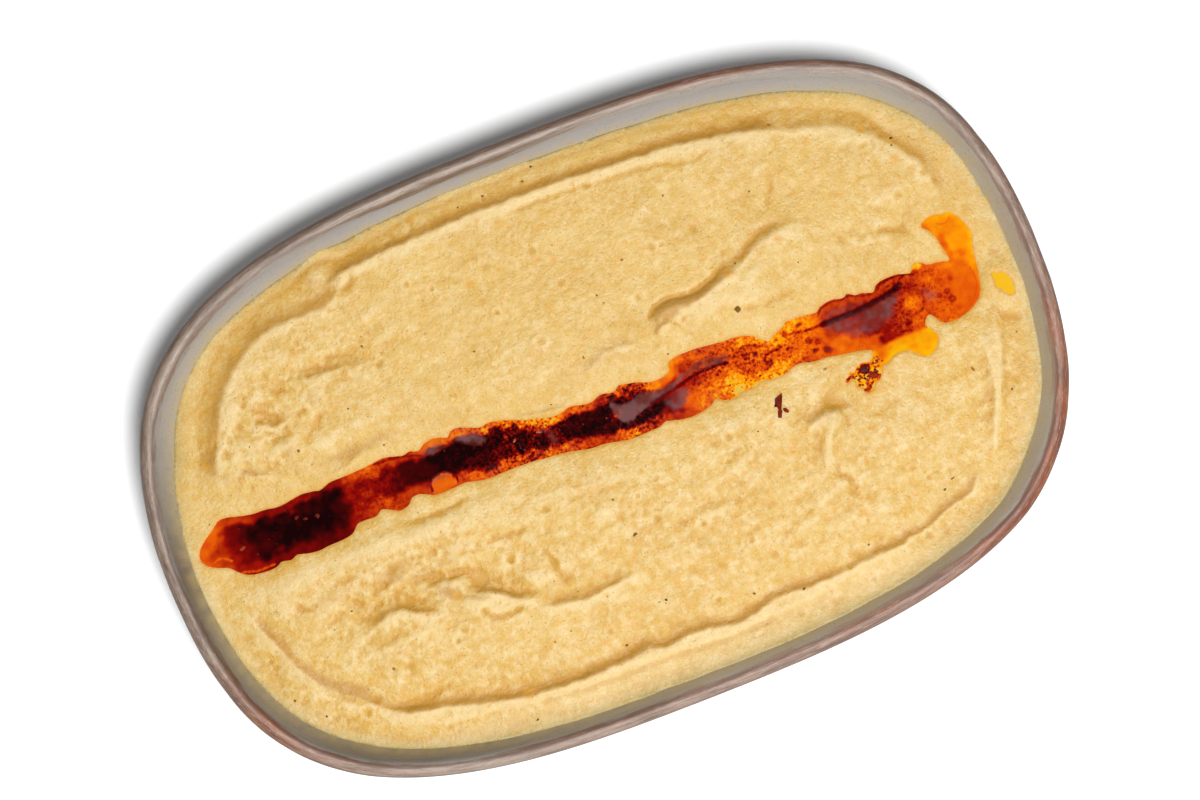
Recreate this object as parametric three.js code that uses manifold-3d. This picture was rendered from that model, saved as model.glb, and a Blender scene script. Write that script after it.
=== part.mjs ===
// Hummus in a shallow oval stoneware dish, with chilli oil standing in a channel along its middle.
//
// Frame: millimetres, +Z up. The origin is the middle of the foot, on the surface that the dish stands on.
// +X runs along the dish and +Y across it.
//
// The dish is a round bowl drawn out along X: a section at radius r across the short axis is an oval that
// reaches r + SPREAD along the long one. The hummus is turned on the same oval grid, so the two stay one
// clearance apart. Every pool of oil is a spine with a half width, a depth and a level, and the hummus is cut
// round all of them.

import * as THREE from 'three';
import { mergeVertices } from 'three/addons/utils/BufferGeometryUtils.js';
import Module from 'manifold-3d';

const wasm = await Module();
wasm.setup();

// ----------------------------------------------------------------------------------------------------------
// Driving dimensions
// ----------------------------------------------------------------------------------------------------------

const DISH_LENGTH = 233;
const DISH_WIDTH = 148.5;
const DISH_HEIGHT = 36;
const OVAL_POWER = 2.95; // 2 is an ellipse, and more is squarer
const RIM_THICKNESS = 4.2;
const FOOT_INSET = 26; // from the rim's outer edge to the foot's
const FOOT_WIDTH = 5;
const FOOT_HEIGHT = 3.4;
const UNDERSIDE = 1.6; // the base inside the foot stands this far off the table
const FLOOR_TOP = 6.4;

const FILL_LEVEL = 29.5; // the hummus away from its folds, 6.5 below the rim
const EDGE_TILT = { x: 0.8, y: -1.1 }; // round the wall it slopes, by this much at the end of each axis
const EDGE_BAND = [0.78, 0.97]; // shares of the way out over which that slope comes in
const OIL_LEVEL = 28.3;
const CLEARANCE = 0.3; // between any two pieces

const SEGMENTS = 88; // columns round the oval
const RIM_STEPS = 6; // faces over the round of the rim

const SPREAD = (DISH_LENGTH - DISH_WIDTH) / 2;
const HALF_WIDTH = DISH_WIDTH / 2;

// The walls' sections, as [distance in from the rim's outer edge, height].
const OUTER_WALL = [[22, 4.2], [15.4, 7.8], [9.6, 14.4], [5.2, 22], [2, 28.6], [0.4, 32]];
const INNER_WALL = [[4.6, 32], [6.6, 28.5], [9.2, 24], [12.6, 18], [17.5, 12], [25, 8], [34, 6.7]];

// Pools of oil: stations along each one's spine, as [x, y, half width, depth, height above the oil's level].
const CHANNEL = [
  [-108, 4, 0, 0.5], [-105, 4.4, 3.2, 2], [-101, 4.4, 6, 3.5], [-96, 3.7, 7, 4.5], [-86, 2.8, 6.8, 4.8],
  [-76, 2.6, 6.9, 4.8], [-70, 3.3, 6.7, 4.4], [-65, 4.4, 5.9, 3.6], [-55, 4.6, 6.2, 4], [-45, 4.1, 6, 4.4],
  [-35, 3.7, 6.4, 4.4], [-28, 2.6, 6, 4], [-20, 1.1, 5.2, 3.8], [-10, 0, 5, 4], [0, -1, 5.5, 4.2],
  [8, -1, 5.9, 3.8], [16, -1.6, 5.1, 3.2], [22, -0.2, 7.1, 3], [32, 0.4, 6.9, 2.6], [40, 0.1, 5.9, 2.2],
  [45, -1.3, 4.2, 1.8], [50, 0.4, 5.3, 2], [61, 0, 6.1, 3], [71, -1.1, 6.9, 3.4], [80, -0.6, 7.4, 3.4],
  [86, 0.1, 6.4, 3], [93, -1.5, 7.3, 2.6], [99, -0.8, 5.3, 1.8], [102, -1, 0, 0.5],
];
const SIDE_POOLS = [
  [ // the hook that runs up into the rim groove
    [98, -2, 2.4, 1.4, 0], [99.3, 4, 3.3, 1.3, 0.1], [99.8, 8, 3.7, 1.3, 0.4], [99.5, 11.5, 3.7, 1.2, 0.6],
    [98, 14.4, 2.9, 1, 0.7], [95.7, 16.1, 1.7, 0.9, 0.7], [93, 16.3, 0, 0.5, 0.7],
  ],
  [ // the spill over the near bank
    [70.5, -6, 2, 1.2, 0], [72.8, -9.5, 2.5, 1.1, 0.3], [76.6, -9.3, 2.5, 1, 0.4],
    [80.8, -10.6, 3.5, 1, 0.6], [83.6, -11.2, 2.6, 0.9, 0.7], [86.2, -11, 0, 0.5, 0.7],
  ],
  [ // the spill's left arm, under the clump of chilli
    [72, -8.6, 1.2, 1, 0.2], [68.8, -10.9, 1.8, 1, 0.4], [66, -13.3, 3.4, 1, 0.7], [65, -16.5, 2, 0.9, 0.8],
    [64.6, -18.7, 0, 0.5, 0.8],
  ],
];
const OIL_DROP = [
  [104.4, -0.6, 0, 0.4, 1.4], [106, -2.9, 1.4, 0.8, 1.4], [106.6, -5.6, 1.9, 0.8, 1.4],
  [106.1, -8.6, 0, 0.4, 1.4],
];

// Folds: the crest's line, and the hummus heaped on one side of it. rise and back are the height and reach
// of the heaped side, dip and front those of the hollow before it. side is 1 where the left of the line is
// heaped.
const FOLDS = [
  { // the step up to the middle, from the rim groove, round the far left
    line: [
      [-100, 15], [-98.6, 22], [-96.5, 28.3], [-93.9, 33.5], [-90.6, 40.2], [-86.8, 44.4], [-81.8, 48.4],
      [-76.7, 51], [-71, 52.8], [-62, 52.9], [-56, 53], [-52.4, 54.6], [-49.6, 57.6], [-47.5, 59.4],
    ],
    side: -1, rise: 0.6, back: 12, dip: 0.8, front: 3,
  },
  { // the same step along the far side and round the far right
    line: [
      [-49, 59], [-42, 60.1], [-30, 60.3], [-20, 60.8], [0, 60.8], [10, 60.5], [20, 59.4], [30, 58.8],
      [42, 58.4], [51, 57], [61, 55.2], [71, 51.6], [80, 48.7], [87.5, 44.2], [93, 38.8], [97.4, 33],
      [99.2, 28], [100.3, 21],
    ],
    side: -1, rise: 0.7, back: 14, dip: 0.9, front: 3.2,
  },
  { // the raised lip along the near side
    line: [
      [-100.5, -11], [-98.6, -20], [-95.4, -28], [-91.4, -34.2], [-86.5, -39.4], [-80, -45.6], [-74, -50],
      [-64.4, -52.1], [-52, -55.2], [-40, -57.3], [-30, -58], [-15, -57.5], [-4, -58.4], [5, -58],
      [14, -59.2], [24, -56.9], [34, -57.4], [50, -56.4], [61, -54.9], [70, -52.6], [79, -50.3], [84, -47.4],
    ],
    side: -1, rise: 0.6, back: 4.5, dip: 0.8, front: 4,
  },
  { // the thin ridge down the right end
    line: [[95.6, -21], [95, -25.5], [93.3, -30.9], [91.4, -35.3], [89.6, -39.8], [86.6, -46]],
    side: 1, rise: 0.9, back: 2.6, dip: 0.5, front: 2.4,
  },
  { // the fold pushed up on the channel's far bank
    line: [
      [20, 15.4], [21.6, 17.4], [23.6, 20.7], [29, 21.2], [32, 20.4], [35.5, 21.1], [39, 22.9], [43, 23.4],
      [49.4, 26.6], [55.5, 29.3], [61, 30.3], [70, 30.3],
    ],
    side: -1, rise: 1.3, back: 7, dip: 1.1, front: 4,
  },
  { // the two long folds on the near bank
    line: [[-75.6, -28.3], [-70.6, -25.8], [-65.6, -25.1], [-61.2, -27.4], [-57.5, -29.3], [-53.5, -30.6]],
    side: -1, rise: 1, back: 5, dip: 0.9, front: 3.5,
  },
  {
    line: [
      [-51.8, -28], [-45.5, -30.3], [-39.2, -30.9], [-35.3, -32.8], [-31.9, -34.3], [-30.3, -36.6],
      [-26.2, -38.4], [-20.2, -39.1], [-10, -38.4], [-2.5, -38.4],
    ],
    side: -1, rise: 1, back: 6, dip: 0.9, front: 4,
  },
  { // the low fold on the far left
    line: [[-68.6, 37.8], [-60.6, 37.4], [-54.5, 36.7], [-49.8, 35.2], [-45.4, 33.3]],
    side: -1, rise: 0.7, back: 6, dip: 0.5, front: 4,
  },
  { // the tongue on the near right
    line: [[47.5, -20.5], [49.6, -19.2], [51.6, -18.9], [55.5, -19.3], [58, -21]],
    side: -1, rise: 0.9, back: 4, dip: 0.7, front: 3.2,
  },
];
const FOLD_EDGE = 1.3; // half the run of a fold's steep face
const FOLD_TAPER = 9; // a fold dies away over this length at each end

const BANK_REACH = 3.6; // the bank beside a pool rises over this distance
const BANK_FOOT = 0.25; // how far the bank's foot stands above the oil
const LEVEE_HEIGHT = 0.5; // the crest pushed up beside the channel
const LEVEE_AWAY = 5; // from the pool's edge to that crest
const LEVEE_REACH = 4;
const SMEAR_HEIGHT = 0.5; // where the hummus climbs the wall
const SMEAR_REACH = 1.6;

// Flakes of chilli and a scrap of skin on the hummus, and the chilli clump on the oil:
// [x, y, half length, half width, height, turn in degrees].
const FLAKES = [
  [42.6, -13, 2.6, 0.9, 0.8, 68],
  [43.4, -14.8, 0.9, 0.6, 0.6, -45],
  [41.6, 13.6, 1.1, 0.9, 0.8, 20],
];
const OIL_FLAKES = [
  [65.8, -12.4, 1.5, 1.4, 0.9, 0],
  [67.2, -14.9, 1.2, 0.8, 0.6, -50],
];
const CLUMP_LEVEL = 0.7; // the film under the clump stands this far above the oil's level

// ----------------------------------------------------------------------------------------------------------
// The oval grid
// ----------------------------------------------------------------------------------------------------------

// The point of the unit oval in the direction of an angle.
function unitOval(angle) {
  const across = Math.cos(angle);
  const up = Math.sin(angle);
  const reach = (Math.abs(across) ** OVAL_POWER + Math.abs(up) ** OVAL_POWER) ** (-1 / OVAL_POWER);
  return [across * reach, up * reach];
}

// A point of the oval section whose radius across the short axis is given.
function ovalPoint(radius, column) {
  const [across, up] = unitOval((column / SEGMENTS) * 2 * Math.PI);
  return [(radius + SPREAD) * across, radius * up];
}

// A lathe turned on the oval grid. settle(x, y, z, column, row) may move a point, and returns [x, y, z].
function ovalLathe(profile, settle = (x, y, z) => [x, y, z]) {
  const geometry = new THREE.LatheGeometry(profile, SEGMENTS);
  const { position } = geometry.attributes;
  for (let i = 0; i < position.count; i += 1) {
    const column = Math.floor(i / profile.length) % SEGMENTS;
    const row = i % profile.length;
    const [x, y] = ovalPoint(profile[row].x, column);
    position.setXYZ(i, ...settle(x, y, profile[row].y, column, row));
  }
  return geometry;
}

// ----------------------------------------------------------------------------------------------------------
// Solids
// ----------------------------------------------------------------------------------------------------------

const MERGE_DISTANCE = 1e-4;

function solidOf(geometry) {
  const bare = new THREE.BufferGeometry();
  bare.setAttribute('position', geometry.getAttribute('position'));
  bare.setIndex(geometry.getIndex());
  const merged = mergeVertices(bare, MERGE_DISTANCE);
  const corners = merged.index.array;
  const kept = [];
  for (let i = 0; i < corners.length; i += 3) {
    const [a, b, c] = corners.slice(i, i + 3);
    if (a !== b && b !== c && c !== a) kept.push(a, b, c);
  }
  return new wasm.Manifold(new wasm.Mesh({
    numProp: 3,
    vertProperties: merged.attributes.position.array,
    triVerts: new Uint32Array(kept),
  }));
}

function geometryOf(solid) {
  const { numProp, vertProperties, triVerts } = solid.getMesh();
  const points = new Float32Array((vertProperties.length / numProp) * 3);
  for (let i = 0; i < points.length / 3; i += 1) {
    points.set(vertProperties.subarray(i * numProp, i * numProp + 3), i * 3);
  }
  const geometry = new THREE.BufferGeometry();
  geometry.setAttribute('position', new THREE.BufferAttribute(points, 3));
  geometry.setIndex(new THREE.BufferAttribute(triVerts, 1));
  geometry.computeVertexNormals();
  return geometry;
}

// ----------------------------------------------------------------------------------------------------------
// Pools
// ----------------------------------------------------------------------------------------------------------

const smoothstep = THREE.MathUtils.smoothstep;

// A pool's spine as two curves through its stations: where it runs, and its half width, depth and level.
function spineOf(stations) {
  const places = stations.map(([x, y]) => new THREE.Vector3(x, y, 0));
  const sizes = stations.map(([, , half, depth, above = 0]) => {
    return new THREE.Vector3(half, depth, OIL_LEVEL + above);
  });
  return { route: new THREE.CatmullRomCurve3(places), section: new THREE.CatmullRomCurve3(sizes) };
}

// One pool as a solid, grown all round by grow. Its top is dome above its level.
function poolSolid(stations, { rows, around, grow = 0, dome = 0.15 }) {
  const { route, section } = spineOf(stations);
  const geometry = new THREE.SphereGeometry(1, around, rows);
  const { position } = geometry.attributes;
  for (let row = 0; row <= rows; row += 1) {
    const share = row / rows;
    const middle = route.getPoint(share);
    const along = route.getTangent(share);
    const { x: width, y: deep, z: level } = section.getPoint(share);
    const atEnd = row === 0 || row === rows;
    const half = atEnd ? 0 : Math.max(width, 0.05) + grow;
    const past = atEnd ? Math.sign(share - 0.5) * grow : 0; // the ends grow along the spine
    for (let k = 0; k <= around; k += 1) {
      const turn = -((k % around) / around) * 2 * Math.PI;
      const side = half * Math.cos(turn);
      const lift = Math.sin(turn);
      const top = level + dome * (grow > 0 ? lift : lift ** 2);
      const bottom = level - (deep + grow) * lift ** 2;
      const beside = lift > 0 ? top : bottom;
      position.setXYZ(
        row * (around + 1) + k,
        middle.x + along.x * past - along.y * side,
        middle.y + along.y * past + along.x * side,
        atEnd ? level : beside,
      );
    }
  }
  return solidOf(geometry);
}

const CHANNEL_GRID = { rows: 64, around: 10 };
const SIDE_GRID = { rows: 10, around: 8 };
const CUT = { grow: CLEARANCE, dome: 6 }; // a pool grown for the cut in the hummus, and open above

function joined(solids) {
  return solids.reduce((sum, solid) => sum.add(solid));
}

function channelAndSides(options = {}) {
  return joined([
    poolSolid(CHANNEL, { ...CHANNEL_GRID, ...options }),
    ...SIDE_POOLS.map((stations) => poolSolid(stations, { ...SIDE_GRID, ...options })),
  ]);
}

// ----------------------------------------------------------------------------------------------------------
// Lines on the hummus
// ----------------------------------------------------------------------------------------------------------

const SPINE_STEPS = 60;

function polyline(points) {
  const curve = new THREE.SplineCurve(points.map(([x, y]) => new THREE.Vector2(x, y)));
  return curve.getPoints(points.length * 3);
}

// The nearest point of a line to (x, y): how far it is, on which side, and how much of the line lies before.
function nearest(line, x, y) {
  const best = { distance: Infinity, side: 1, index: 0 };
  for (let i = 0; i < line.length - 1; i += 1) {
    const run = { x: line[i + 1].x - line[i].x, y: line[i + 1].y - line[i].y };
    const to = { x: x - line[i].x, y: y - line[i].y };
    const length = Math.hypot(run.x, run.y);
    const share = THREE.MathUtils.clamp((to.x * run.x + to.y * run.y) / length ** 2, 0, 1);
    const distance = Math.hypot(to.x - share * run.x, to.y - share * run.y);
    if (distance < best.distance) {
      best.distance = distance;
      best.side = Math.sign(run.x * to.y - run.y * to.x) || 1;
      best.index = i + share;
    }
  }
  return best;
}

function lengthOf(line) {
  return line.slice(1).reduce((sum, point, i) => sum + point.distanceTo(line[i]), 0);
}

const foldLines = FOLDS.map((fold) => {
  const line = polyline(fold.line);
  return { ...fold, line, length: lengthOf(line) };
});

// What one fold adds to the surface at (x, y).
function foldHeight(fold, x, y) {
  const { distance, side, index } = nearest(fold.line, x, y);
  const away = distance * side * fold.side;
  const along = (index / (fold.line.length - 1)) * fold.length;
  const taper = smoothstep(along, 0, FOLD_TAPER) * smoothstep(fold.length - along, 0, FOLD_TAPER);
  const heaped = smoothstep(away, -FOLD_EDGE, FOLD_EDGE);
  const crest = fold.rise * Math.exp(-Math.max(away, 0) / fold.back);
  const hollow = fold.dip * Math.exp(Math.min(away, 0) / fold.front);
  return taper * (heaped * crest - (1 - heaped) * hollow);
}

const poolSpines = [CHANNEL, ...SIDE_POOLS, OIL_DROP].map((stations) => {
  const { route, section } = spineOf(stations);
  return { line: route.getPoints(SPINE_STEPS), sizes: section.getPoints(SPINE_STEPS) };
});

// How far (x, y) lies outside a pool's edge, or below zero inside it, and the pool's level there.
function besidePool({ line, sizes }, x, y) {
  const { distance, index } = nearest(line, x, y);
  const before = Math.floor(index);
  const after = Math.min(before + 1, sizes.length - 1);
  const here = sizes[before].clone().lerp(sizes[after], index - before);
  return { away: distance - here.x, level: here.z };
}

// ----------------------------------------------------------------------------------------------------------
// The hummus's top
// ----------------------------------------------------------------------------------------------------------

// How far out (x, y) is, as a share of the way from the middle to the wall.
function shareOut(x, y) {
  const across = Math.abs(x) / (HALF_WIDTH + SPREAD);
  const up = Math.abs(y) / HALF_WIDTH;
  return (across ** OVAL_POWER + up ** OVAL_POWER) ** (1 / OVAL_POWER);
}

function topHeight(x, y) {
  const sides = poolSpines.map((pool) => besidePool(pool, x, y));
  const { away, level } = sides.reduce((least, side) => (side.away < least.away ? side : least));
  const slope = EDGE_TILT.x * (x / (HALF_WIDTH + SPREAD)) + EDGE_TILT.y * (y / HALF_WIDTH);
  const rest = FILL_LEVEL + slope * smoothstep(shareOut(x, y), ...EDGE_BAND);
  const folds = foldLines.reduce((sum, fold) => sum + foldHeight(fold, x, y), 0);
  const levee = LEVEE_HEIGHT * Math.exp(-(((away - LEVEE_AWAY) / LEVEE_REACH) ** 2));
  const bank = smoothstep(away, 0, BANK_REACH);
  return THREE.MathUtils.lerp(level + BANK_FOOT, rest + folds + levee, bank);
}

// The inner wall's radius at a height.
function innerRadius(height) {
  const above = INNER_WALL.findIndex(([, z]) => z < height);
  const [insetHigh, high] = INNER_WALL[above - 1];
  const [insetLow, low] = INNER_WALL[above];
  return HALF_WIDTH - THREE.MathUtils.lerp(insetLow, insetHigh, (height - low) / (high - low));
}

// Shares of the edge's radius at which the top's rings lie, from the edge inwards: close together over the
// rim groove, wider over the middle, and ending on the middle line.
function ringShares() {
  const shares = [1];
  const grooveInner = 0.78;
  const closeStep = 0.032;
  const wideStep = 0.058;
  while (shares.at(-1) > wideStep * 1.5) {
    shares.push(shares.at(-1) - (shares.at(-1) > grooveInner ? closeStep : wideStep));
  }
  return [...shares, 0];
}

// ----------------------------------------------------------------------------------------------------------
// Pieces
// ----------------------------------------------------------------------------------------------------------

function sectionPoint([inset, height]) {
  return new THREE.Vector2(HALF_WIDTH - inset, height);
}

// The stoneware dish: foot, outer wall, round rim, inner wall and floor.
function dishGeometry() {
  const footInner = FOOT_INSET + FOOT_WIDTH;
  const bevel = 0.8;
  const foot = [
    [HALF_WIDTH, UNDERSIDE], [footInner + bevel, UNDERSIDE], [footInner, 0], [FOOT_INSET, 0],
    [FOOT_INSET - bevel, bevel], [FOOT_INSET - bevel, FOOT_HEIGHT],
  ];
  const rimRadius = RIM_THICKNESS / 2;
  const rim = [];
  for (let step = 0; step <= RIM_STEPS; step += 1) {
    const turn = (step / RIM_STEPS) * Math.PI;
    rim.push([rimRadius * (1 - Math.cos(turn)), DISH_HEIGHT - rimRadius * (1 - Math.sin(turn))]);
  }
  const floor = [[HALF_WIDTH, FLOOR_TOP]];
  return ovalLathe([...foot, ...OUTER_WALL, ...rim, ...INNER_WALL, ...floor].map(sectionPoint));
}

// The hummus before its channel is cut: floor, wall and the smoothed, folded top.
function hummusGeometry() {
  const wallTop = FILL_LEVEL - 2;
  const wall = INNER_WALL.filter(([, z]) => z < wallTop).reverse();
  const lower = [[HALF_WIDTH, FLOOR_TOP], ...wall].map(sectionPoint);
  lower.forEach((point) => point.set(Math.max(point.x - CLEARANCE, 0), point.y + CLEARANCE));
  const shares = ringShares();
  const top = shares.map((share) => new THREE.Vector2(share * innerRadius(FILL_LEVEL), FILL_LEVEL));

  return ovalLathe([...lower, ...top], (x, y, z, column, row) => {
    if (row < lower.length) return [x, y, z];
    const share = shares[row - lower.length];
    const edge = ovalPoint(innerRadius(FILL_LEVEL) - CLEARANCE, column);
    const edgeRadius = innerRadius(topHeight(...edge)) - CLEARANCE;
    const [px, py] = ovalPoint(share * edgeRadius, column);
    const smear = SMEAR_HEIGHT * Math.exp((-(1 - share) * HALF_WIDTH) / SMEAR_REACH);
    return [px, py, topHeight(px, py) + smear];
  });
}

// A flake, half sunk in whatever lies level under it.
function flakeSolid([x, y, halfLength, halfWidth, height, degrees], level) {
  const geometry = new THREE.IcosahedronGeometry(1, 0)
    .scale(halfLength, halfWidth, height)
    .rotateZ(THREE.MathUtils.degToRad(degrees))
    .translate(x, y, level + height / 4);
  return solidOf(geometry);
}

function hummusSolid() {
  const cuts = channelAndSides(CUT).add(poolSolid(OIL_DROP, { ...SIDE_GRID, ...CUT }));
  const flakes = FLAKES.map((flake) => flakeSolid(flake, topHeight(flake[0], flake[1])));
  return joined([solidOf(hummusGeometry()).subtract(cuts), ...flakes]);
}

function oilSolid() {
  const flakes = OIL_FLAKES.map((flake) => flakeSolid(flake, OIL_LEVEL + CLUMP_LEVEL));
  return joined([channelAndSides(), ...flakes]);
}

// ----------------------------------------------------------------------------------------------------------
// The model
// ----------------------------------------------------------------------------------------------------------

const glaze = new THREE.MeshStandardMaterial({ color: 0xa39a8c, roughness: 0.35, metalness: 0 });
const dip = new THREE.MeshStandardMaterial({ color: 0xf0d093, roughness: 0.6, metalness: 0 });
const oil = new THREE.MeshStandardMaterial({ color: 0x8c2206, roughness: 0.08, metalness: 0 });
const thinOil = new THREE.MeshStandardMaterial({ color: 0xffae0a, roughness: 0.1, metalness: 0 });

function piece(name, geometry, material) {
  const mesh = new THREE.Mesh(geometry, material);
  mesh.name = name;
  return mesh;
}

const hummus = new THREE.Group();
hummus.add(
  piece('dish', dishGeometry(), glaze),
  piece('hummus', geometryOf(hummusSolid()), dip),
  piece('chilli_oil', geometryOf(oilSolid()), oil),
  piece('oil_drop', geometryOf(poolSolid(OIL_DROP, SIDE_GRID)), thinOil),
);

export default hummus;
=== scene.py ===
"""Hummus in a shallow oval stoneware dish, with dark chilli oil standing in a long channel.

The hummus is a fine height field: a level fill, folds and creases along named lines, bumps, and banks that
run down to the oil. The oil is a slab cut to its outline, and its colour comes from how much sediment lies in
it. Chilli flakes, specks of skin and the dish's glaze are built round the same named shapes.

Lengths are in millimetres in the row's own frame until a mesh is made.
"""

import math

import bpy
import numpy as np
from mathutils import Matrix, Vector


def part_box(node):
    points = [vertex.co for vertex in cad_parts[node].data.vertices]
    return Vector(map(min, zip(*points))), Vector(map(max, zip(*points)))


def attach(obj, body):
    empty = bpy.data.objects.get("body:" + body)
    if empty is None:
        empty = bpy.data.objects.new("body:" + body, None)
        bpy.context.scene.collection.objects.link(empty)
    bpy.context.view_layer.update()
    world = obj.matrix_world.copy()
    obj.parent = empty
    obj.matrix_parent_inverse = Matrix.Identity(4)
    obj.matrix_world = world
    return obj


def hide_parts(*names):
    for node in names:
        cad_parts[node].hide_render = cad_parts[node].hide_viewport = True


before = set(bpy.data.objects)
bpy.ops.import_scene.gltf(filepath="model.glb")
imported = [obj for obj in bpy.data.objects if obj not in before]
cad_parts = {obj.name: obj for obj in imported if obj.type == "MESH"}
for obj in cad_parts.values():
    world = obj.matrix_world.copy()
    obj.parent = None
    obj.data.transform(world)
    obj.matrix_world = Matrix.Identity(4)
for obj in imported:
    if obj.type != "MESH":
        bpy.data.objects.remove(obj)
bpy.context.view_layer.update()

MM = 0.001

# ---- Sizes ----

_, dish_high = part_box("dish")
HALF_LENGTH, HALF_WIDTH, RIM_HEIGHT = np.array(dish_high) / MM
SPREAD = HALF_LENGTH - HALF_WIDTH  # the oval is a circle's section drawn out by this much along X
OVAL_POWER = 2.95
RIM_RADIUS = 2.1

# The section's lines: (distance in from the rim's outer edge, height). The rim runs on into the inner wall.
FOOT = ((43, 1.6), (31.8, 1.6), (31, 0.4), (30.6, 0), (26.4, 0), (26, 0.4), (25.2, 1.2), (25.2, 3.4))
OUTER_WALL = ((22, 4.2), (15.4, 7.8), (9.6, 14.4), (5.2, 22), (2, 28.6), (0.4, 32))
INNER_WALL = ((6.6, 28.5), (9.2, 24), (12.6, 18), (17.5, 12), (25, 8), (34, 6.7))
FLOOR_EDGE = (44, 6.4)

FILL_LEVEL = 29.5
EDGE_TILT = (0.8, -1.3)  # how far the fill rises round the wall at the end of each axis
# How far it stands lower there: (angle round the dish in degrees, distance).
EDGE_DIP = (
    (-180, 0.4), (-165, 1.2), (-155, 1.8), (-145, 1.4), (-135, 1.7), (-115, 1.1), (-105, 0.6), (-95, 0.9),
    (-85, 0.4), (-70, 0.9), (-55, 1.6), (-44, 1.9), (-35, 2.5), (-25, 1.0), (-15, 1.7), (5, 1.4), (15, 1.4),
    (25, 0.3), (35, 1.4), (45, 1.9), (70, 2.1), (85, 1.1), (95, 0.4), (115, 1.4), (125, 0.7), (135, -0.4),
    (145, 0.7), (155, 1.6), (165, 1.4), (180, 0.4),
)
EDGE_BAND = (0.82, 0.97)  # shares of the way out over which that comes in
OIL_LEVEL = 28.3
CELL = 0.55  # the hummus's grid
OIL_CELL = 0.3
# The places below are as seen from above at the rim's scale, and this brings them to the hummus's depth.
SEEN = 1.0057

# ---- Outlines of the oil ----

CHANNEL_FAR_BANK = (
    (-107.2, 4), (-106.4, 6.2), (-104.4, 8), (-101.8, 9.7), (-99.4, 11.4), (-97, 11.3), (-94, 10.5),
    (-91, 9.9), (-88, 9.8), (-85, 9.3), (-82, 9.4), (-78, 10), (-75, 9.7), (-72.8, 9.3), (-70, 10.2),
    (-66, 10.3), (-60, 10.5), (-55.6, 11), (-52.5, 10.3), (-50.6, 9.8), (-48.5, 10.1), (-46.5, 9.4),
    (-44.5, 10.6), (-42, 11), (-40, 10.5), (-38.4, 9.9), (-37.2, 11.1), (-35, 11.2), (-32.5, 10.2),
    (-30, 9.3), (-27.5, 9.6), (-25.4, 9.2), (-22.5, 8.4), (-19, 6.9), (-16, 6.2), (-13, 5.3), (-10, 5.2),
    (-7, 5.9), (-4, 5.2), (-1.5, 5), (1, 5.9), (4.4, 5.4), (6.3, 6.4), (8.5, 6), (11, 5.4), (13.5, 4.4),
    (17, 4.3), (19.3, 5.2), (20, 7.3), (22.5, 7.9), (26, 8), (30, 7.7), (34, 7.2), (38, 7), (41.5, 5.9),
    (43.6, 4.2), (45.2, 3), (47, 4), (49.8, 5), (51, 5.9), (55, 5.8), (58.8, 5.4), (60.5, 6.4), (63.5, 6.9),
    (66.5, 6.3), (67.8, 6.9), (69.5, 5.9), (71.5, 5.7), (74, 4.9), (75.4, 6.3), (77.5, 6.9), (81, 6.9),
    (84.5, 6), (86, 7.8), (88, 7.3), (89.4, 6.3), (92, 6), (94.8, 5.4),
)
HOOK = (
    (94.6, 7.4), (94.1, 9.6), (93.6, 12), (92.6, 14.2), (91.2, 15.9), (92.6, 17), (94.5, 17.4), (96.8, 16.9),
    (98.9, 16.6), (100.6, 14.6), (101.7, 12), (102.2, 9.6), (101.4, 7.2), (100.9, 4), (100.6, 1),
)
CHANNEL_END = (
    (99.9, -1.9), (99.2, -4.4), (97.7, -6.4), (95, -8), (92, -8.9), (89.5, -9), (87.4, -8.3), (86.2, -6.4),
    (85, -5.3), (83.7, -6.3), (83.2, -7.6),
)
SPILL = (
    (84.2, -9), (84.9, -10.6), (84.7, -12.4), (83.2, -14), (81.4, -14.9), (79.6, -14.2), (78, -12.6),
    (76.2, -11.5), (73.6, -11.5), (71.6, -12.4), (70.2, -12.9), (69.2, -13), (68.8, -14), (67.9, -15.6),
    (66.6, -16.1), (65.4, -17.3), (64.4, -18), (63.1, -17.6), (62.9, -16.2), (61.7, -15.6), (61.9, -14.2),
    (61, -13.4), (59.9, -13.9), (59.4, -13.1), (60.7, -12.5), (61.3, -11.6), (62.3, -12.1), (63.3, -11.2),
    (65, -10.5), (66.6, -11), (67.9, -10.4), (68.4, -8.6),
)
CHANNEL_NEAR_BANK = (
    (67.6, -8), (65, -7.3), (61, -6.7), (57, -5.9), (54, -5.8), (51, -5), (48.8, -5), (46.5, -5.9),
    (43.4, -6.1), (40, -5.6), (37.6, -6.4), (34.5, -6.2), (31.8, -7), (29.5, -6.6), (27.6, -5.5),
    (25.8, -6.6), (22.4, -7.4), (19, -7.4), (16, -6.7), (13.8, -6.2), (12, -6.9), (8, -7), (4, -7.1),
    (0.5, -6.4), (-3, -5.8), (-6, -5.7), (-9, -5), (-13, -4.2), (-17, -3.8), (-21, -3.4), (-25, -3.2),
    (-29, -3.2), (-33, -3.3), (-36.5, -2.6), (-38.6, -2.1), (-41, -2.3), (-46, -2.4), (-48, -1.6),
    (-50.4, -0.6), (-52.4, -0.9), (-53.6, -2.2), (-56.2, -2.7), (-58.4, -1.6), (-60.4, -0.8), (-62.4, -1.9),
    (-65, -1.8), (-67.4, -2), (-69.4, -3.8), (-72.5, -4.3), (-76, -4.4), (-78.6, -4.7), (-81.5, -4.3),
    (-84.2, -3.6), (-86, -4.3), (-88.6, -3.8), (-90, -4.6), (-93.4, -4.7), (-97, -4), (-99.4, -2.4),
    (-101.3, -0.5), (-104, 0.6), (-106.2, 2),
)
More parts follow.
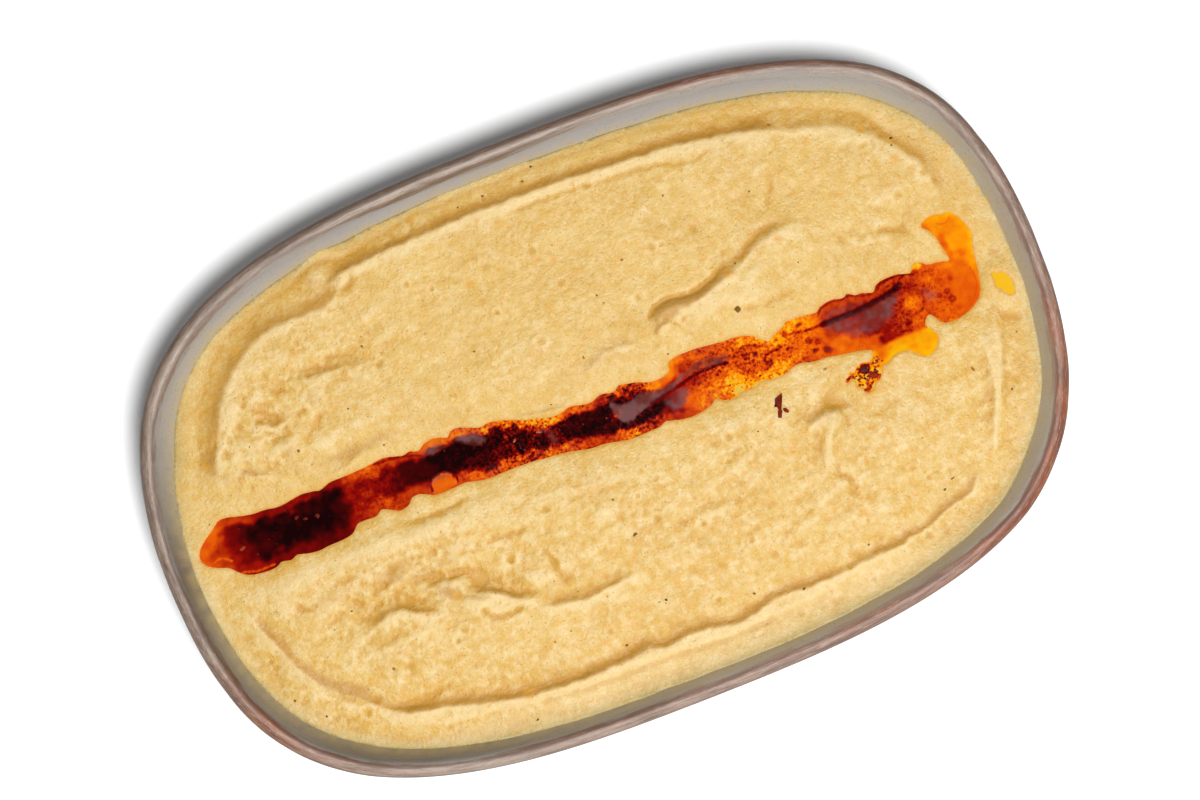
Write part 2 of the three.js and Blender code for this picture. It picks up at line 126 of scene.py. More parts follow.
DROP = (
    (103.2, -1), (104.4, -1.9), (105.6, -2), (106.4, -2.8), (107, -4), (107.3, -5.4), (107, -7.6),
    (106, -8.2), (105, -7.4), (104.2, -6), (103.2, -5), (103.3, -3),
)

# ---- The hummus's relief ----

# Folds: (line, side, rise, back, dip, front, run, shade). The line is the middle of the fold's face. The
# heaped side is to the left of it where side is 1. It stands rise at the crest and dies off over back. The
# face drops, most of it over run, into a hollow about dip deep, which dies off over twice front. Painted
# shade darkens the paste there by shade.
FOLDS = (
    # the step from the rim groove up to the middle: far left, far side, far right
    (((-98, 18), (-96.6, 23), (-94.6, 28), (-92, 33), (-89, 38.6), (-85.4, 43), (-81, 47), (-76, 50),
      (-72.5, 51.6), (-67, 52.4), (-60, 52.3), (-55.6, 52.5), (-52, 54.2), (-49.6, 57), (-48, 59.6)),
     -1, 0.35, 8, 0.75, 3, 3.8, 0.8),
    (((-55, 56), (-52, 57.4), (-48.6, 59), (-45, 59.5), (-37, 60), (-30, 60.2), (-20, 60.7), (-10, 60.8),
      (0, 60.6), (10, 60.4), (20, 59.7), (30, 59), (38, 58.5), (42, 58.2), (50, 56.8), (60, 55), (68, 52.3)),
     -1, 0.6, 8, 1.15, 2, 2.5, 1.0),
    (((54, 56), (60, 54.7), (65, 53), (70, 51), (75, 49.6), (80, 47.9), (84, 45.7), (87, 43.5), (90, 40.6),
      (92.5, 38), (95, 34.8), (97, 31.6), (98, 28.4), (99.2, 22), (99.6, 17)),
     -1, 0.4, 8, 0.75, 3, 4.2, 0.55),
    # the lip along the near side
    (((-100.4, -10), (-99, -16), (-95.6, -24), (-93.8, -28.8), (-90.6, -33.8), (-86.9, -38), (-82.5, -41.4),
      (-79, -45), (-76, -47.4), (-71.3, -49.6), (-65, -51.2)), -1, 0.3, 3.4, 0.65, 2.6, 2.2, 0.75),
    (((-76, -47.6), (-71.3, -50), (-63.8, -51.4), (-57.5, -53), (-51.3, -54.7), (-46, -56), (-40, -56.8),
      (-30, -57.6), (-22, -57.5), (-15, -57), (-10.4, -56.2), (-6, -57.9), (-1, -57), (5, -57.4),
      (12.5, -58.8)), -1, 0.45, 3.4, 1, 3, 2.3, 1.0),
    (((4, -57.2), (12.5, -58.8), (16, -58.3), (20.6, -57.2), (24, -56.3), (34, -56.9), (42.5, -56.6),
      (49, -55.9), (57.5, -55.5), (60, -54.4), (65, -54.1), (69, -52.2), (74, -50.6), (78, -49.9),
      (80, -47.8), (81.6, -46.2), (84, -46.8)), -1, 0.3, 3, 0.65, 2.4, 1.9, 0.9),
    # the ridges down the right end
    (((93.6, -15), (94.2, -19), (94, -22.5), (93.4, -26), (92.2, -30.6), (90.4, -35), (88.4, -39.4),
      (85.2, -45.6)), 1, 0.4, 1.8, 0.35, 2.2, 1.6, 0.3),
    (((100.8, -9), (100.6, -14), (99.4, -20), (97, -26), (95, -31), (92.6, -37)),
     -1, 0.35, 2, 0.3, 2.2, 1.8, 0.2),
    # the fold pushed up on the channel's far bank
    (((18.6, 14.2), (19.6, 15.4), (20.4, 17), (20.8, 19), (22.6, 20.6), (25.5, 20.9), (29, 20.6), (31.3, 20),
      (34, 20.4), (37, 21.4), (40, 22.6), (43.5, 23.2), (47, 24.4)), -1, 1.05, 5, 0.4, 3.4, 3, 0.9),
    (((38, 22), (42, 23.4), (46, 24.8), (49, 26.2), (51.6, 27.8), (55, 28.6), (60, 29), (66, 29.2)),
     -1, 0.75, 5, 0.2, 4, 4.4, 0.4),
    (((-4, 12), (-1.3, 12.7), (2, 14.4), (4.4, 16), (7, 16.4), (10.4, 15.8), (14, 15.4), (19, 15.4)),
     -1, 0.4, 4, 0.25, 3, 2.6, 0.35),
    (((18.4, 13.6), (19.8, 15.2), (21.4, 16.6), (23.4, 17), (26, 16.6)), -1, 0.45, 2, 0.3, 2, 1.4, 0.65),
    # the long folds on the near bank
    (((-77, -28.8), (-73.5, -27.2), (-70, -25.4), (-67, -24.7), (-64.6, -24.8), (-62.4, -26.2), (-60, -27.6),
      (-57, -29), (-53, -30.4)), -1, 0.65, 4, 0.75, 3, 2.1, 0.85),
    (((-50, -26.6), (-46, -27.8), (-42, -29.2), (-39.4, -30.8), (-37, -32.4), (-34.6, -33.8), (-30, -34.8)),
     -1, 0.6, 4, 0.75, 3.4, 2.4, 0.85),
    (((-34, -35.6), (-31, -37.4), (-27, -38.4), (-20, -39.4), (-17.4, -39.2), (-10, -38.6), (-4, -38)),
     -1, 0.45, 4, 0.6, 3, 1.8, 0.7),
    (((-61, -24.4), (-56, -22.7), (-52.5, -22.4), (-49, -23), (-44, -22)), -1, 0.4, 4, 0.35, 3, 2, 0.4),
    (((-52.6, -27.4), (-50.6, -27.7), (-48.2, -28.8), (-44.6, -30.6), (-41, -32.4)),
     -1, 0.4, 3, 0.35, 2.4, 1.3, 0.35),
    # the low folds on the far left
    (((-72, 37.4), (-66, 37.2), (-60, 37), (-54, 36.4), (-49.4, 34.8), (-46, 33)),
     -1, 0.3, 5, 0.4, 2.6, 2, 0.6),
    (((-92, 19.4), (-90, 19.8), (-87, 19.6), (-84, 18.4), (-81.5, 16.8)), -1, 0.4, 3, 0.35, 3, 1.7, 0.6),
    (((-83, 31.6), (-80, 30.2), (-77.6, 28.8), (-75, 27.6)), -1, 0.4, 3, 0.4, 2.6, 1.6, 0.6),
    (((-74, 12.8), (-70, 12.6), (-66, 13), (-61, 14.6), (-57, 15.8)), -1, 0.3, 4, 0.25, 3, 2, 0.3),
    # the tongue on the near right
    (((44, -22), (47, -19.4), (50, -18.6), (53, -18.4), (55.4, -19), (57, -22)),
     -1, 0.9, 3, 0.8, 4, 2.2, 0.5),
    # the lip beside the oil, where it narrows
    (((-24, 12), (-21.6, 9.6), (-19, 8.2), (-15, 7.5), (-10, 7), (-4, 6.6)),
     -1, 0.4, 1.4, 0.45, 1.4, 1, 0.5),
)

# Creases: (line, depth, half width). A crease below zero is a ridge.
CREASES = (
    (((-4, 56.2), (0, 56.5), (9, 56.3), (15, 56), (21, 55.4), (27.5, 55.4), (34, 54.4), (38, 54.2)),
     0.22, 0.7),
    (((36, 54.4), (38.6, 52.8), (41, 52.2), (45, 52.2), (48.8, 53.4)), 0.24, 0.8),
    (((-78, -47.4), (-75, -48.6), (-71, -49), (-66, -48.8), (-61.6, -47.8)), 0.4, 1.1),
    (((-66, -56), (-55, -57), (-42, -58.4), (-28, -59.6), (-14, -59.8), (0, -60.4), (10, -61), (22, -60.6),
      (35, -60)), -0.2, 1),
    (((-40, -60.2), (-28, -61.2), (-14, -61.6), (0, -62), (10, -62.4), (22, -62)), 0.2, 0.8),
    (((-92, -34), (-88, -39), (-84, -42.6), (-80, -44.4)), 0.45, 1.3),
    (((-51.6, -27.4), (-50.4, -27.8), (-49.4, -28.6)), 0.6, 1.1),
    (((-78, -19.4), (-74.6, -20), (-71, -20.8)), 0.3, 1.2),
    (((-57, -20.4), (-52, -22.6), (-46, -23.6), (-43, -25.2)), 0.35, 1.3),
    (((-62, -14.4), (-59.6, -15.4), (-57.6, -14.6)), 0.25, 1.2),
    (((-69.6, -26), (-66, -25.4), (-63, -26.4), (-60, -28.2), (-57, -29.6)), 0.4, 0.7),
    (((-42, -29.2), (-38, -31.6), (-35, -33.2), (-31.6, -34)), 0.4, 0.7),
    (((-45.6, -34), (-44.6, -35.4), (-43, -36.4), (-41, -36.9), (-37.5, -36.7), (-35, -36.4)), 0.5, 0.8),
    (((-80, -15.2), (-77, -14.4), (-74, -14.2), (-72, -14.6)), 0.3, 0.9),
    (((-55.6, -6), (-52, -6.7), (-47, -6.8), (-42, -6.2), (-38.6, -5.4)), 0.3, 1),
    (((-33.4, -18.6), (-31, -19), (-29, -18.6), (-26.6, -19)), 0.25, 0.8),
    (((-26.2, -25.4), (-25.2, -28), (-24.8, -31), (-24.2, -33.4), (-22, -34)), 0.42, 0.9),
    (((49.2, -32.6), (50, -34.6), (51.4, -36.2), (51.8, -38.4), (51.2, -41)), 0.34, 1),
    (((55.4, -20.2), (56.2, -22), (55.6, -24.4)), 0.25, 0.9),
    (((6, -32), (10, -31.2), (15, -29.3), (19, -30), (24, -30.6), (30, -30.3)), 0.22, 1.2),
    (((80, 25.6), (82, 24.4), (84, 23.4)), 0.25, 1),
    (((69.6, 22.4), (70.8, 21.4), (71.6, 19.6), (72.2, 18)), 0.28, 0.9),
    (((80, 19.4), (84, 17.8), (88, 16.4), (92, 15.6)), 0.22, 1.2),
    (((-12, 28.7), (-10.6, 28.5), (-9, 27.4)), 0.2, 0.7),
    (((-28.4, 65.4), (-27.6, 63.4), (-27.8, 61.6)), 0.25, 0.8),
    (((-92, -18.2), (-89, -17), (-86, -18.4)), 0.18, 0.9),
    (((-70, -32.6), (-68.4, -31.6), (-66.8, -31.8)), 0.2, 0.9),
    (((38.4, -38.8), (39.4, -40.4), (40.6, -39.4)), 0.2, 0.6),
    (((13.4, -44.6), (14.4, -45.6), (15.4, -45)), 0.22, 0.6),
    (((15, -38.6), (16, -39.4), (16.6, -38.8)), 0.2, 0.6),
    (((19.6, 19.6), (22, 21.4), (26, 22), (29, 21.8), (31, 21.2), (34, 21.8), (37, 22.8), (41, 24.4)),
     0.75, 0.8),
    (((44, 25), (48, 26.6), (51, 28.6), (54, 29.6), (58, 29.4)), 0.35, 1),
    (((56.4, 33.6), (57.8, 36), (60, 39.4), (60.6, 42)), 0.2, 0.9),
    (((-50.6, 53.4), (-47.4, 54.6), (-46, 57), (-46.4, 59)), 0.4, 1),
    (((-96, 26), (-92, 30.6), (-88.6, 32.6)), 0.25, 1),
    (((-90, -15.4), (-87, -17.4), (-83, -18.6)), 0.25, 1.1),
    (((-71, -19.8), (-68, -19.6), (-65.4, -18)), 0.35, 0.9),
    (((-35, -27), (-31, -30.4), (-28.6, -31)), -0.3, 1.2),
    (((54.4, -19.4), (52.2, -22.6), (49.8, -26), (47.6, -31)), -0.5, 1.2),
    (((-38, -18.2), (-33, -18.2), (-29, -17.6)), 0.3, 1),
    (((90.6, 15.4), (84, 17.8), (78, 19.4), (72, 22.6)), 0.25, 1.4),
    (((42, 12.6), (47, 12), (52, 12.2), (56, 12.8)), 0.25, 1),
)

# Bumps: (x, y, half length, half width, turn in degrees, height). A dent is below zero.
BUMPS = (
    (-14, 23, 13, 6, 10, 0.35), (-24, 28, 7, 4, 60, -0.2), (28, 14, 9, 4.4, 8, 0.5),
    (45, 16, 10, 5, 20, 0.45), (66, 24, 12, 6, 10, 0.35), (60, 12, 8, 4, 5, 0.25), (82, 30, 8, 10, 70, 0.3),
    (88, 20, 7, 3, 10, -0.15), (-65, 31, 8, 5, -10, 0.35), (-84, 26, 6, 4, 40, 0.3),
    (-86, 36, 5, 4, 50, 0.35), (-75, 43, 7, 4, 20, 0.2), (-89, 21, 4, 3, 0, 0.2), (-55, 22, 9, 5, 20, 0.25),
    (-40, 16, 8, 4, 0, 0.25), (-67, 26, 3, 2, 40, -0.25), (-76, 22, 5, 3, 60, 0.25),
    (-93, 10.5, 6, 3, 0, 0.2), (-54, -9.5, 14, 3.2, 0, 0.4), (-86, -9.5, 9, 3.2, 0, 0.4),
    (-70, -9, 9, 3, 0, 0.35), (-92, -15, 4, 6, 0, 0.3), (-68, -22, 16, 6, 8, -0.35),
    (-48, -24, 10, 4, -15, -0.3), (-62, -18.5, 3, 2, 20, 0.3), (-72, -20, 3, 2, 0, 0.25),
    (-58, -34, 12, 6, -12, 0.4), (-82, -31, 8, 6, -30, 0.3), (-20, -24, 6, 4, 70, 0.2),
    (-14, -30, 7, 4, 20, 0.25), (-36, -12, 8, 5, 10, 0.25), (-29, -16, 4, 2.4, 0, 0.2),
    (8, -13, 16, 4, 2, 0.35), (-8, -21, 9, 4, 10, 0.25), (30, -12, 12, 4, 2, 0.4),
    (53.4, -24, 3, 6, -18, 0.4), (49, -29, 2.4, 5, -10, 0.35), (60, -14, 6, 3, 40, -0.35),
    (56, -17, 5, 2.2, 5, -0.3), (70, -26, 10, 7, 0, 0.25), (44, -38, 8, 8, 0, 0.2), (56, -38, 5, 8, 0, 0.2),
    (75, -36, 10, 8, 20, 0.2), (-10.4, -57.4, 1.2, 1.5, 0, 0.3), (-54, 61, 5, 3.4, 30, 0.4),
    (-47, 58.6, 2, 1.6, 0, -0.3), (52, 46, 10, 5, 10, 0.2), (30, 40, 14, 9, 0, 0.12),
    (96, -15, 3, 6, 5, 0.2), (-35, 47, 12, 6, 15, 0.15), (100, 30, 3, 8, 15, 0.15),
    (28, 18.4, 4, 1.8, 5, 0.4), (42.4, 21.4, 2, 1.3, 30, 0.4), (47, 20, 5, 2.4, 20, 0.35),
    (35.4, 16.6, 5, 2.4, 15, 0.25), (67, 13, 3, 6, 70, 0.3), (74, 11, 2.4, 5, 60, 0.25),
    (-74, 33, 4, 2.4, 20, 0.35), (-79, 38, 4, 3, 40, 0.3), (-87, 24, 4, 3, 10, 0.35),
    (-68, 20, 5, 3, 10, 0.3), (-78, 22.4, 3, 2, 0, 0.25),
)

# Where the paste is deeper in colour: (x, y, half length, half width, turn in degrees, amount). Most are
# painted shade along folds and in hollows; some are deeper ochre paste.
DEEP_AND_SHADE_PATCHES = (
    (-52, -26, 4, 2.4, -10, 0.6), (-83, -40.5, 5, 3, -45, 0.5), (-75, -37, 6, 2.4, -5, 0.3),
    (-63, -16.5, 7, 3, 12, 0.6), (-80, -17, 7, 2.4, 0, 0.4), (-46, -17, 6, 2, 0, 0.3),
    (-42, -25, 4, 2, -20, 0.3), (-75, 30, 3, 3, 0, 0.4), (-66, 31, 2.6, 2.6, 0, 0.45),
    (-76, 21.5, 3, 2.4, 0, 0.35), (-91, 20, 6, 2, 0, 0.3), (-58, 15.6, 10, 2, 5, 0.3),
    (25, 19, 6, 2, 5, 0.6), (-20, 15, 7, 2.4, 0, 0.2), (3, 14.5, 6, 2, 5, 0.25),
    (-57, 57.5, 4.4, 3.4, 40, 0.35), (-53, 62, 5, 2.4, 30, 0.3), (-15, -58, 8, 1.2, 0, 0.5),
    (23, -57.2, 5, 1.2, 5, 0.5), (-55, -54.4, 8, 1.2, -15, 0.4), (-98, -29, 2.4, 6, -20, 0.25),
    (97, 12, 2.4, 2.4, 0, 0.3), (40, 60, 16, 1.6, -8, 0.4), (50, -21, 3, 2, 20, 0.3),
    (92, -16, 3, 4, 0, 0.2), (15, -31, 8, 1.6, 5, 0.2), (80, -47.5, 5, 1.4, 30, 0.35),
    (-72, -33, 6, 3, 10, 0.2), (-62, 15.5, 18, 1.8, 0, 0.4), (-57, -19.4, 14, 1.5, 0, 0.45),
    (-54, -25.4, 5, 1.6, -20, 0.4), (-89, -36.5, 9, 2.4, -35, 0.4), (96.5, -17, 1.6, 8, 0, 0.3),
    (-95, 24, 2.4, 6, 10, 0.3), (-77, 20, 2, 6, 0, 0.3), (25, 18.4, 5, 1.6, 5, 0.4),
    (50, 26.4, 10, 1.8, 15, 0.3), (0, 12.5, 24, 3, 0, 0.18),
)

# Where the surface is rough: (x, y, half length, half width, turn in degrees, amount).
ROUGH_PATCHES = (
    (-62, -20, 24, 8, 6, 1.0), (-44, -26, 12, 5, -15, 0.8), (-80, 30, 18, 14, 20, 0.9),
    (-60, 40, 18, 12, 0, 0.55), (-95, -42, 12, 10, -45, 0.5), (36, -38, 34, 14, 0, 0.3),
    (-88, -55, 14, 6, -40, 0.5), (90, 42, 8, 6, -40, 0.4), (0, -26, 50, 12, 4, 0.3),
    (-72, -34, 18, 10, -15, 0.5),
)

# Bits of chickpea that show warmer: (x, y, radius).
WARM_SPOTS = (
    (-19.3, 43.8, 1.2), (2.8, 41.4, 0.9), (-27, 64, 1.2), (-80, 49.6, 1.2), (-97.5, 25, 1.0),
    (-68, 25.6, 1.0), (-50, 36.7, 1.0), (42, 22.4, 1.4), (56.4, 26, 0.9), (37.5, 28.5, 0.9),
    (-50.5, -27.7, 1.3), (-42.6, -57, 1.6), (86, 44, 1.3), (91, 34, 1.3), (-10.4, -16, 0.8), (72, 46.5, 1.2),
    (41, -24.4, 1.0), (52, -46, 0.9), (-18, 38.6, 0.7), (17.6, 36, 0.7), (50, 34, 0.7), (-61.4, -41, 0.8),
    (75, 31, 0.8), (-75, 25, 0.7),
)

# ---- Lines and fields ----

NOISE_TABLE = 4096  # how many directions a noise draws on before it repeats
TINY = 1e-9


def smoothstep(low, high, value):
    share = np.clip((value - low) / (high - low), 0, 1)
    return share * share * (3 - 2 * share)


def curve_through(points, closed=False, steps=5):
    """A Catmull-Rom curve through points, as an array of points."""
    p = np.array(points, float)
    if closed:
        before, here, after, beyond = np.roll(p, 1, 0), p, np.roll(p, -1, 0), np.roll(p, -2, 0)
    else:
        ends = np.vstack([2 * p[0] - p[1], p, 2 * p[-1] - p[-2]])
        before, here, after, beyond = ends[:-3], ends[1:-2], ends[2:-1], ends[3:]
    spans = []
    for t in np.arange(steps) / steps:
        spans.append(
            0.5 * (2 * here + (after - before) * t + (2 * before - 5 * here + 4 * after - beyond) * t ** 2
                   + (3 * here - before - 3 * after + beyond) * t ** 3)
        )
    line = np.stack(spans, 1).reshape(-1, p.shape[1])
    return line if closed else np.vstack([line, p[-1]])


def nearest_on(line, x, y):
    """For points x, y: distance to the line, side (1 on its left), length along it; and the line's length."""
    best = np.full(x.shape, np.inf)
    side = np.ones(x.shape)
    along = np.zeros(x.shape)
    start = 0.0
    for (ax, ay), (bx, by) in zip(line[:-1], line[1:]):
        ux, uy = bx - ax, by - ay
        length = math.hypot(ux, uy) or TINY
        ux, uy = ux / length, uy / length
        reach = np.clip((x - ax) * ux + (y - ay) * uy, 0, length)
        dx, dy = x - ax - reach * ux, y - ay - reach * uy
        distance = np.hypot(dx, dy)
        nearer = distance < best - TINY
        best = np.where(nearer, distance, best)
        side = np.where(nearer, np.where(ux * dy - uy * dx >= 0, 1.0, -1.0), side)
        along = np.where(nearer, start + reach, along)
        start += length
    return best, side, along, start


def outside_of(outline, x, y):
    """Distance to a closed outline, below zero inside it."""
    ring = np.vstack([outline, outline[:1]])
    inside = np.zeros(x.shape, bool)
    for (ax, ay), (bx, by) in zip(ring[:-1], ring[1:]):
        if ay != by:
            crosses = ((ay > y) != (by > y)) & (x < (bx - ax) * (y - ay) / (by - ay) + ax)
            inside ^= crosses
    distance = nearest_on(ring, x, y)[0]
    return np.where(inside, -distance, distance)


def noise(x, y, seed):
    """Smooth gradient noise of about -0.7 to 0.7, with features one unit across."""
    rng = np.random.default_rng(seed)
    turn = rng.uniform(0, 2 * math.pi, NOISE_TABLE)
    order = rng.permutation(NOISE_TABLE)
    ix, iy = np.floor(x).astype(int), np.floor(y).astype(int)
    fx, fy = x - ix, y - iy

    def corner(cx, cy):
        angle = turn[(order[(ix + cx) % NOISE_TABLE] + iy + cy) % NOISE_TABLE]
        return np.cos(angle) * (fx - cx) + np.sin(angle) * (fy - cy)

    sx, sy = fx ** 3 * (fx * (6 * fx - 15) + 10), fy ** 3 * (fy * (6 * fy - 15) + 10)
    low = corner(0, 0) * (1 - sx) + corner(1, 0) * sx
    high = corner(0, 1) * (1 - sx) + corner(1, 1) * sx
    return low * (1 - sy) + high * sy


def noise_round(angle, radius, middle, seed):
    """Noise read off along a circle, so that it meets itself after a full turn."""
    return noise(radius * np.cos(angle) + middle, radius * np.sin(angle) + middle, seed)


def turned(x, y, turn):
    """The points' places in axes that are turned by so many degrees."""
    c, s = math.cos(math.radians(turn)), math.sin(math.radians(turn))
    return x * c + y * s, y * c - x * s


def clouds(x, y, size, seed, octaves=2, stretch=1.0, turn=0.0):
    """Noise in octaves from size down, drawn out by stretch along the direction turn, in degrees."""
    u, v = turned(x, y, turn)
    u = u / stretch
    return sum(noise(u / size * 2 ** k, v / size * 2 ** k, seed + k) / 2 ** k for k in range(octaves))


def ellipse(x, y, cx, cy, half_length, half_width, turn):
    """Distance from the middle of a turned ellipse, where its edge is at 1."""
    u, v = turned(x - cx, y - cy, turn)
    return np.hypot(u / half_length, v / half_width)


def from_patch(x, y, patch):
    """Distance from the middle of a table's patch, where its edge is at 1."""
    cx, cy, *shape = patch[:5]
    return ellipse(x, y, SEEN * cx, SEEN * cy, *shape)


def from_spot(x, y, cx, cy):
    """Distance from a table's spot."""
    return np.hypot(x - SEEN * cx, y - SEEN * cy)


def near(x, y, line, reach):
    """The points within reach of a line's box."""
    low, high = line.min(0) - reach, line.max(0) + reach
    return (x > low[0]) & (x < high[0]) & (y > low[1]) & (y < high[1])


# ---- The dish's section ----

ROLL_END = math.radians(154)  # the rim's roll turns so far, and runs straight on into the inner wall


def from_axis(points):
    """A section's points with the radius in place of the distance in from the rim's outer edge."""
    return [(HALF_WIDTH - inset, height) for inset, height in points]


def roll_point(turn):
    """The rim's roll after so much of a turn from its outer edge: (distance in, height)."""
    return RIM_RADIUS * (1 - math.cos(turn)), RIM_HEIGHT - RIM_RADIUS * (1 - math.sin(turn))


INNER_SECTION = curve_through(from_axis((roll_point(ROLL_END),) + INNER_WALL), steps=6)


def wall_radius(height):
    """The inner wall's radius across the short axis at a height."""
    return np.interp(height, INNER_SECTION[::-1, 1], INNER_SECTION[::-1, 0])


def oval_share(x, y, radius=HALF_WIDTH):
    """How far out a point is, where 1 is on the oval of that radius."""
    across, up = np.abs(x) / (radius + SPREAD), np.abs(y) / radius
    return (across ** OVAL_POWER + up ** OVAL_POWER) ** (1 / OVAL_POWER)


# How far the hand-made rim is drawn in from the oval: (angle round the dish in degrees, distance).
DRAWN_IN = (
    (-180, -0.3), (-172, 0.1), (-158, 0.8), (-145, 0.5), (-132, -0.2), (-90, -0.4), (-60, -0.2), (-46, -0.2),
    (-38, 0.6), (-28, 1.1), (-18, 0.8), (-6, -0.1), (4, -0.2), (14, 0.2), (24, 0.5), (34, -0.2), (44, -0.6),
    (58, -0.2), (72, 0.1), (100, -0.1), (130, -0.1), (145, 0.4), (155, 0.8), (163, 0.5), (172, -0.2),
    (180, -0.3),
)


def round_dish(table, angle):
    """The columns of a table that goes by degrees round the dish, at each angle."""
    turn = np.degrees(np.arctan2(np.sin(angle), np.cos(angle)))
    degrees, *columns = np.array(table).T
    return [np.interp(turn, degrees, column) for column in columns]


def drawn_in(angle):
    return round_dish(DRAWN_IN, angle)[0]


def edge_rise(x, y):
    """How far above its level the fill stands round the wall."""
    across, up = x / HALF_LENGTH, y / HALF_WIDTH
    return EDGE_TILT[0] * across + EDGE_TILT[1] * up - round_dish(EDGE_DIP, np.arctan2(up, across))[0]


def unit_oval(angle):
    """The point in each direction on the oval of radius 1, as x and y."""
    across, up = np.cos(angle), np.sin(angle)
    reach = (np.abs(across) ** OVAL_POWER + np.abs(up) ** OVAL_POWER) ** (-1 / OVAL_POWER)
    return across * reach, up * reach


# ---- Heights ----

CHANNEL_OUTLINE = SEEN * curve_through(
    CHANNEL_FAR_BANK + HOOK + CHANNEL_END + SPILL + CHANNEL_NEAR_BANK, closed=True, steps=4
)
DROP_OUTLINE = SEEN * curve_through(DROP, closed=True, steps=4)
OIL_REACH = (116, 32)  # all oil lies within so far of the middle along each axis
FAR_OFF = 40.0  # stands for the distance from the oil beyond that

# The channel: (x, depth).
CHANNEL_DEPTH = (
    (-108, 0.6), (-103, 2), (-96, 3.6), (-86, 3.8), (-72, 3.4), (-62, 2.6), (-45, 3.4), (-30, 3), (-12, 3),
    (2, 3.2), (16, 2.2), (32, 1.6), (46, 1), (60, 2.2), (80, 2.4), (96, 1.6), (102, 0.8),
)
CHANNEL_SIDE = (0.3, 4)  # distances in from the oil's edge over which it gets that deep
SHALLOW = 0.3  # share of that depth under the hook, the spill and the drop

# How far the oil climbs above its level in the hook, the spill and the drop, and where each comes in: the
# places along Y, then along X, and for the drop the distances from its middle.
FILM_RISE = 0.7
HOOK_RISES = ((3, 13), (86, 96))
SPILL_RISES = ((-6.5, -12.5), (56, 62), (94, 88))
DROP_RISE = 1.2
DROP_RISES = (2.8, 1.1)
DROP_MIDDLE = (105.8, -5.1, 2.3, 3.4, 0)  # x, y, half length, half width, turn

BANK_LIFT = 0.26  # the bank's foot comes up this far out of the oil, at once
BANK_FOOT = 0.4  # the distance over which it does
BANK = (0.1, 2.2)  # distances from the oil over which the bank rises
BANK_SINK = (0.8, 12.0)  # how far the hummus lies down toward the oil, and the distance over which it does
ABOVE_OIL = 0.2  # the least that it stands above the oil

JOG = 0.5  # how far a smooth line's points are moved off their places
FOLD_END = (9, 0.35)  # a fold comes in over so far at its ends, or over that share of its length if less
FOLD_WANDER = (0.35, 6)  # how much a fold's strength wanders, and over what length
FOLD_CREST = (0.5, 1.1)  # its crest is that share of the run behind its line, or so far if less
FOLD_REACH = 4  # in lengths of the slower of its two slopes
FACE_SLOPE = 1.6  # how steeply a fold's face drops over its run
FACE_MIDDLE = 0.3  # of the run below the crest
SHADE_WIDTHS = (0.35, 0.75)  # of the run, above the face's middle and below it
HOLLOW_SHARE = 1.25  # what the hollow is drawn at, in dips, so that it comes out dip deep
CREASE_END = (-2, 3)  # distances from its ends over which a crease comes in
BUMP_SLOPE = 1.4  # how steeply a bump dies off over its half sizes

# Where the surface is rough: a patch's soft edge, and the groove along the rim, as an amount and two shares
# of the way out.
ROUGH_EDGE = (1.25, 0.5)
ROUGH_GROOVE = (0.35, 0.86, 0.93)

# Pits: how many, and the least and most of (x, y, radius, depth).
PITS = 170
PIT_LEAST = (-102, -64, 0.45, 0.06)
PIT_MOST = (102, 64, 1.4, 0.22)

# The strength of each layer of the surface, and how much stronger it gets where it is rough.
SWELL = 0.42
LUMPS = (0.14, 0.2)
CURLS = (0.1, 0.75)
STROKES = 0.1
GRAIN = (0.085, 0.1)
GRAIN_AT_RIM = 0.03
BEADS = 0.68


def oil_level(x, y):
    """The height of the oil's surface."""
    hook_y, hook_x = HOOK_RISES
    spill_y, spill_left, spill_right = SPILL_RISES
    hook = FILM_RISE * smoothstep(*hook_y, y) * smoothstep(*hook_x, x)
    spill = FILM_RISE * smoothstep(*spill_y, y) * smoothstep(*spill_left, x) * smoothstep(*spill_right, x)
    drop = DROP_RISE * smoothstep(*DROP_RISES, ellipse(x, y, *DROP_MIDDLE))
    return OIL_LEVEL + np.maximum(np.maximum(hook, spill), drop)


def from_oil(x, y):
    """Distance to the nearest edge of oil, below zero inside it, and FAR_OFF where far off."""
    away = np.full(x.shape, FAR_OFF)
    close = (np.abs(x) < OIL_REACH[0]) & (np.abs(y) < OIL_REACH[1])
    away[close] = np.minimum(
        outside_of(CHANNEL_OUTLINE, x[close], y[close]), outside_of(DROP_OUTLINE, x[close], y[close])
    )
    return away


def jogged(x, y):
    """Points moved a little off their places, so that what is laid along a smooth line comes out uneven."""
    return x + JOG * clouds(x, y, size=3, seed=61), y + JOG * clouds(x, y, size=3, seed=65)


def along_fold(fold, x, y):
    """The points that a fold reaches, and there: how far behind its crest they lie, and its strength."""
    line, heaped, rise, back, _, front, run, _ = fold
    line = SEEN * curve_through(line)
    mask = near(x, y, line, FOLD_REACH * max(back, front))
    distance, side, along, length = nearest_on(line, *jogged(x[mask], y[mask]))
    end, share = FOLD_END
    ending = min(end, share * length)
    taper = smoothstep(0, ending, along) * smoothstep(0, ending, length - along)
    off_the_end = (along < 1e-6) | (along > length - 1e-6)
    taper = np.where(off_the_end, 0, taper)
    amount, size = FOLD_WANDER
    wander = 1 + amount * noise(along / size, np.full(along.shape, rise * 9), seed=31)
    share, most = FOLD_CREST
    return mask, distance * side * heaped - min(share * run, most), taper * wander


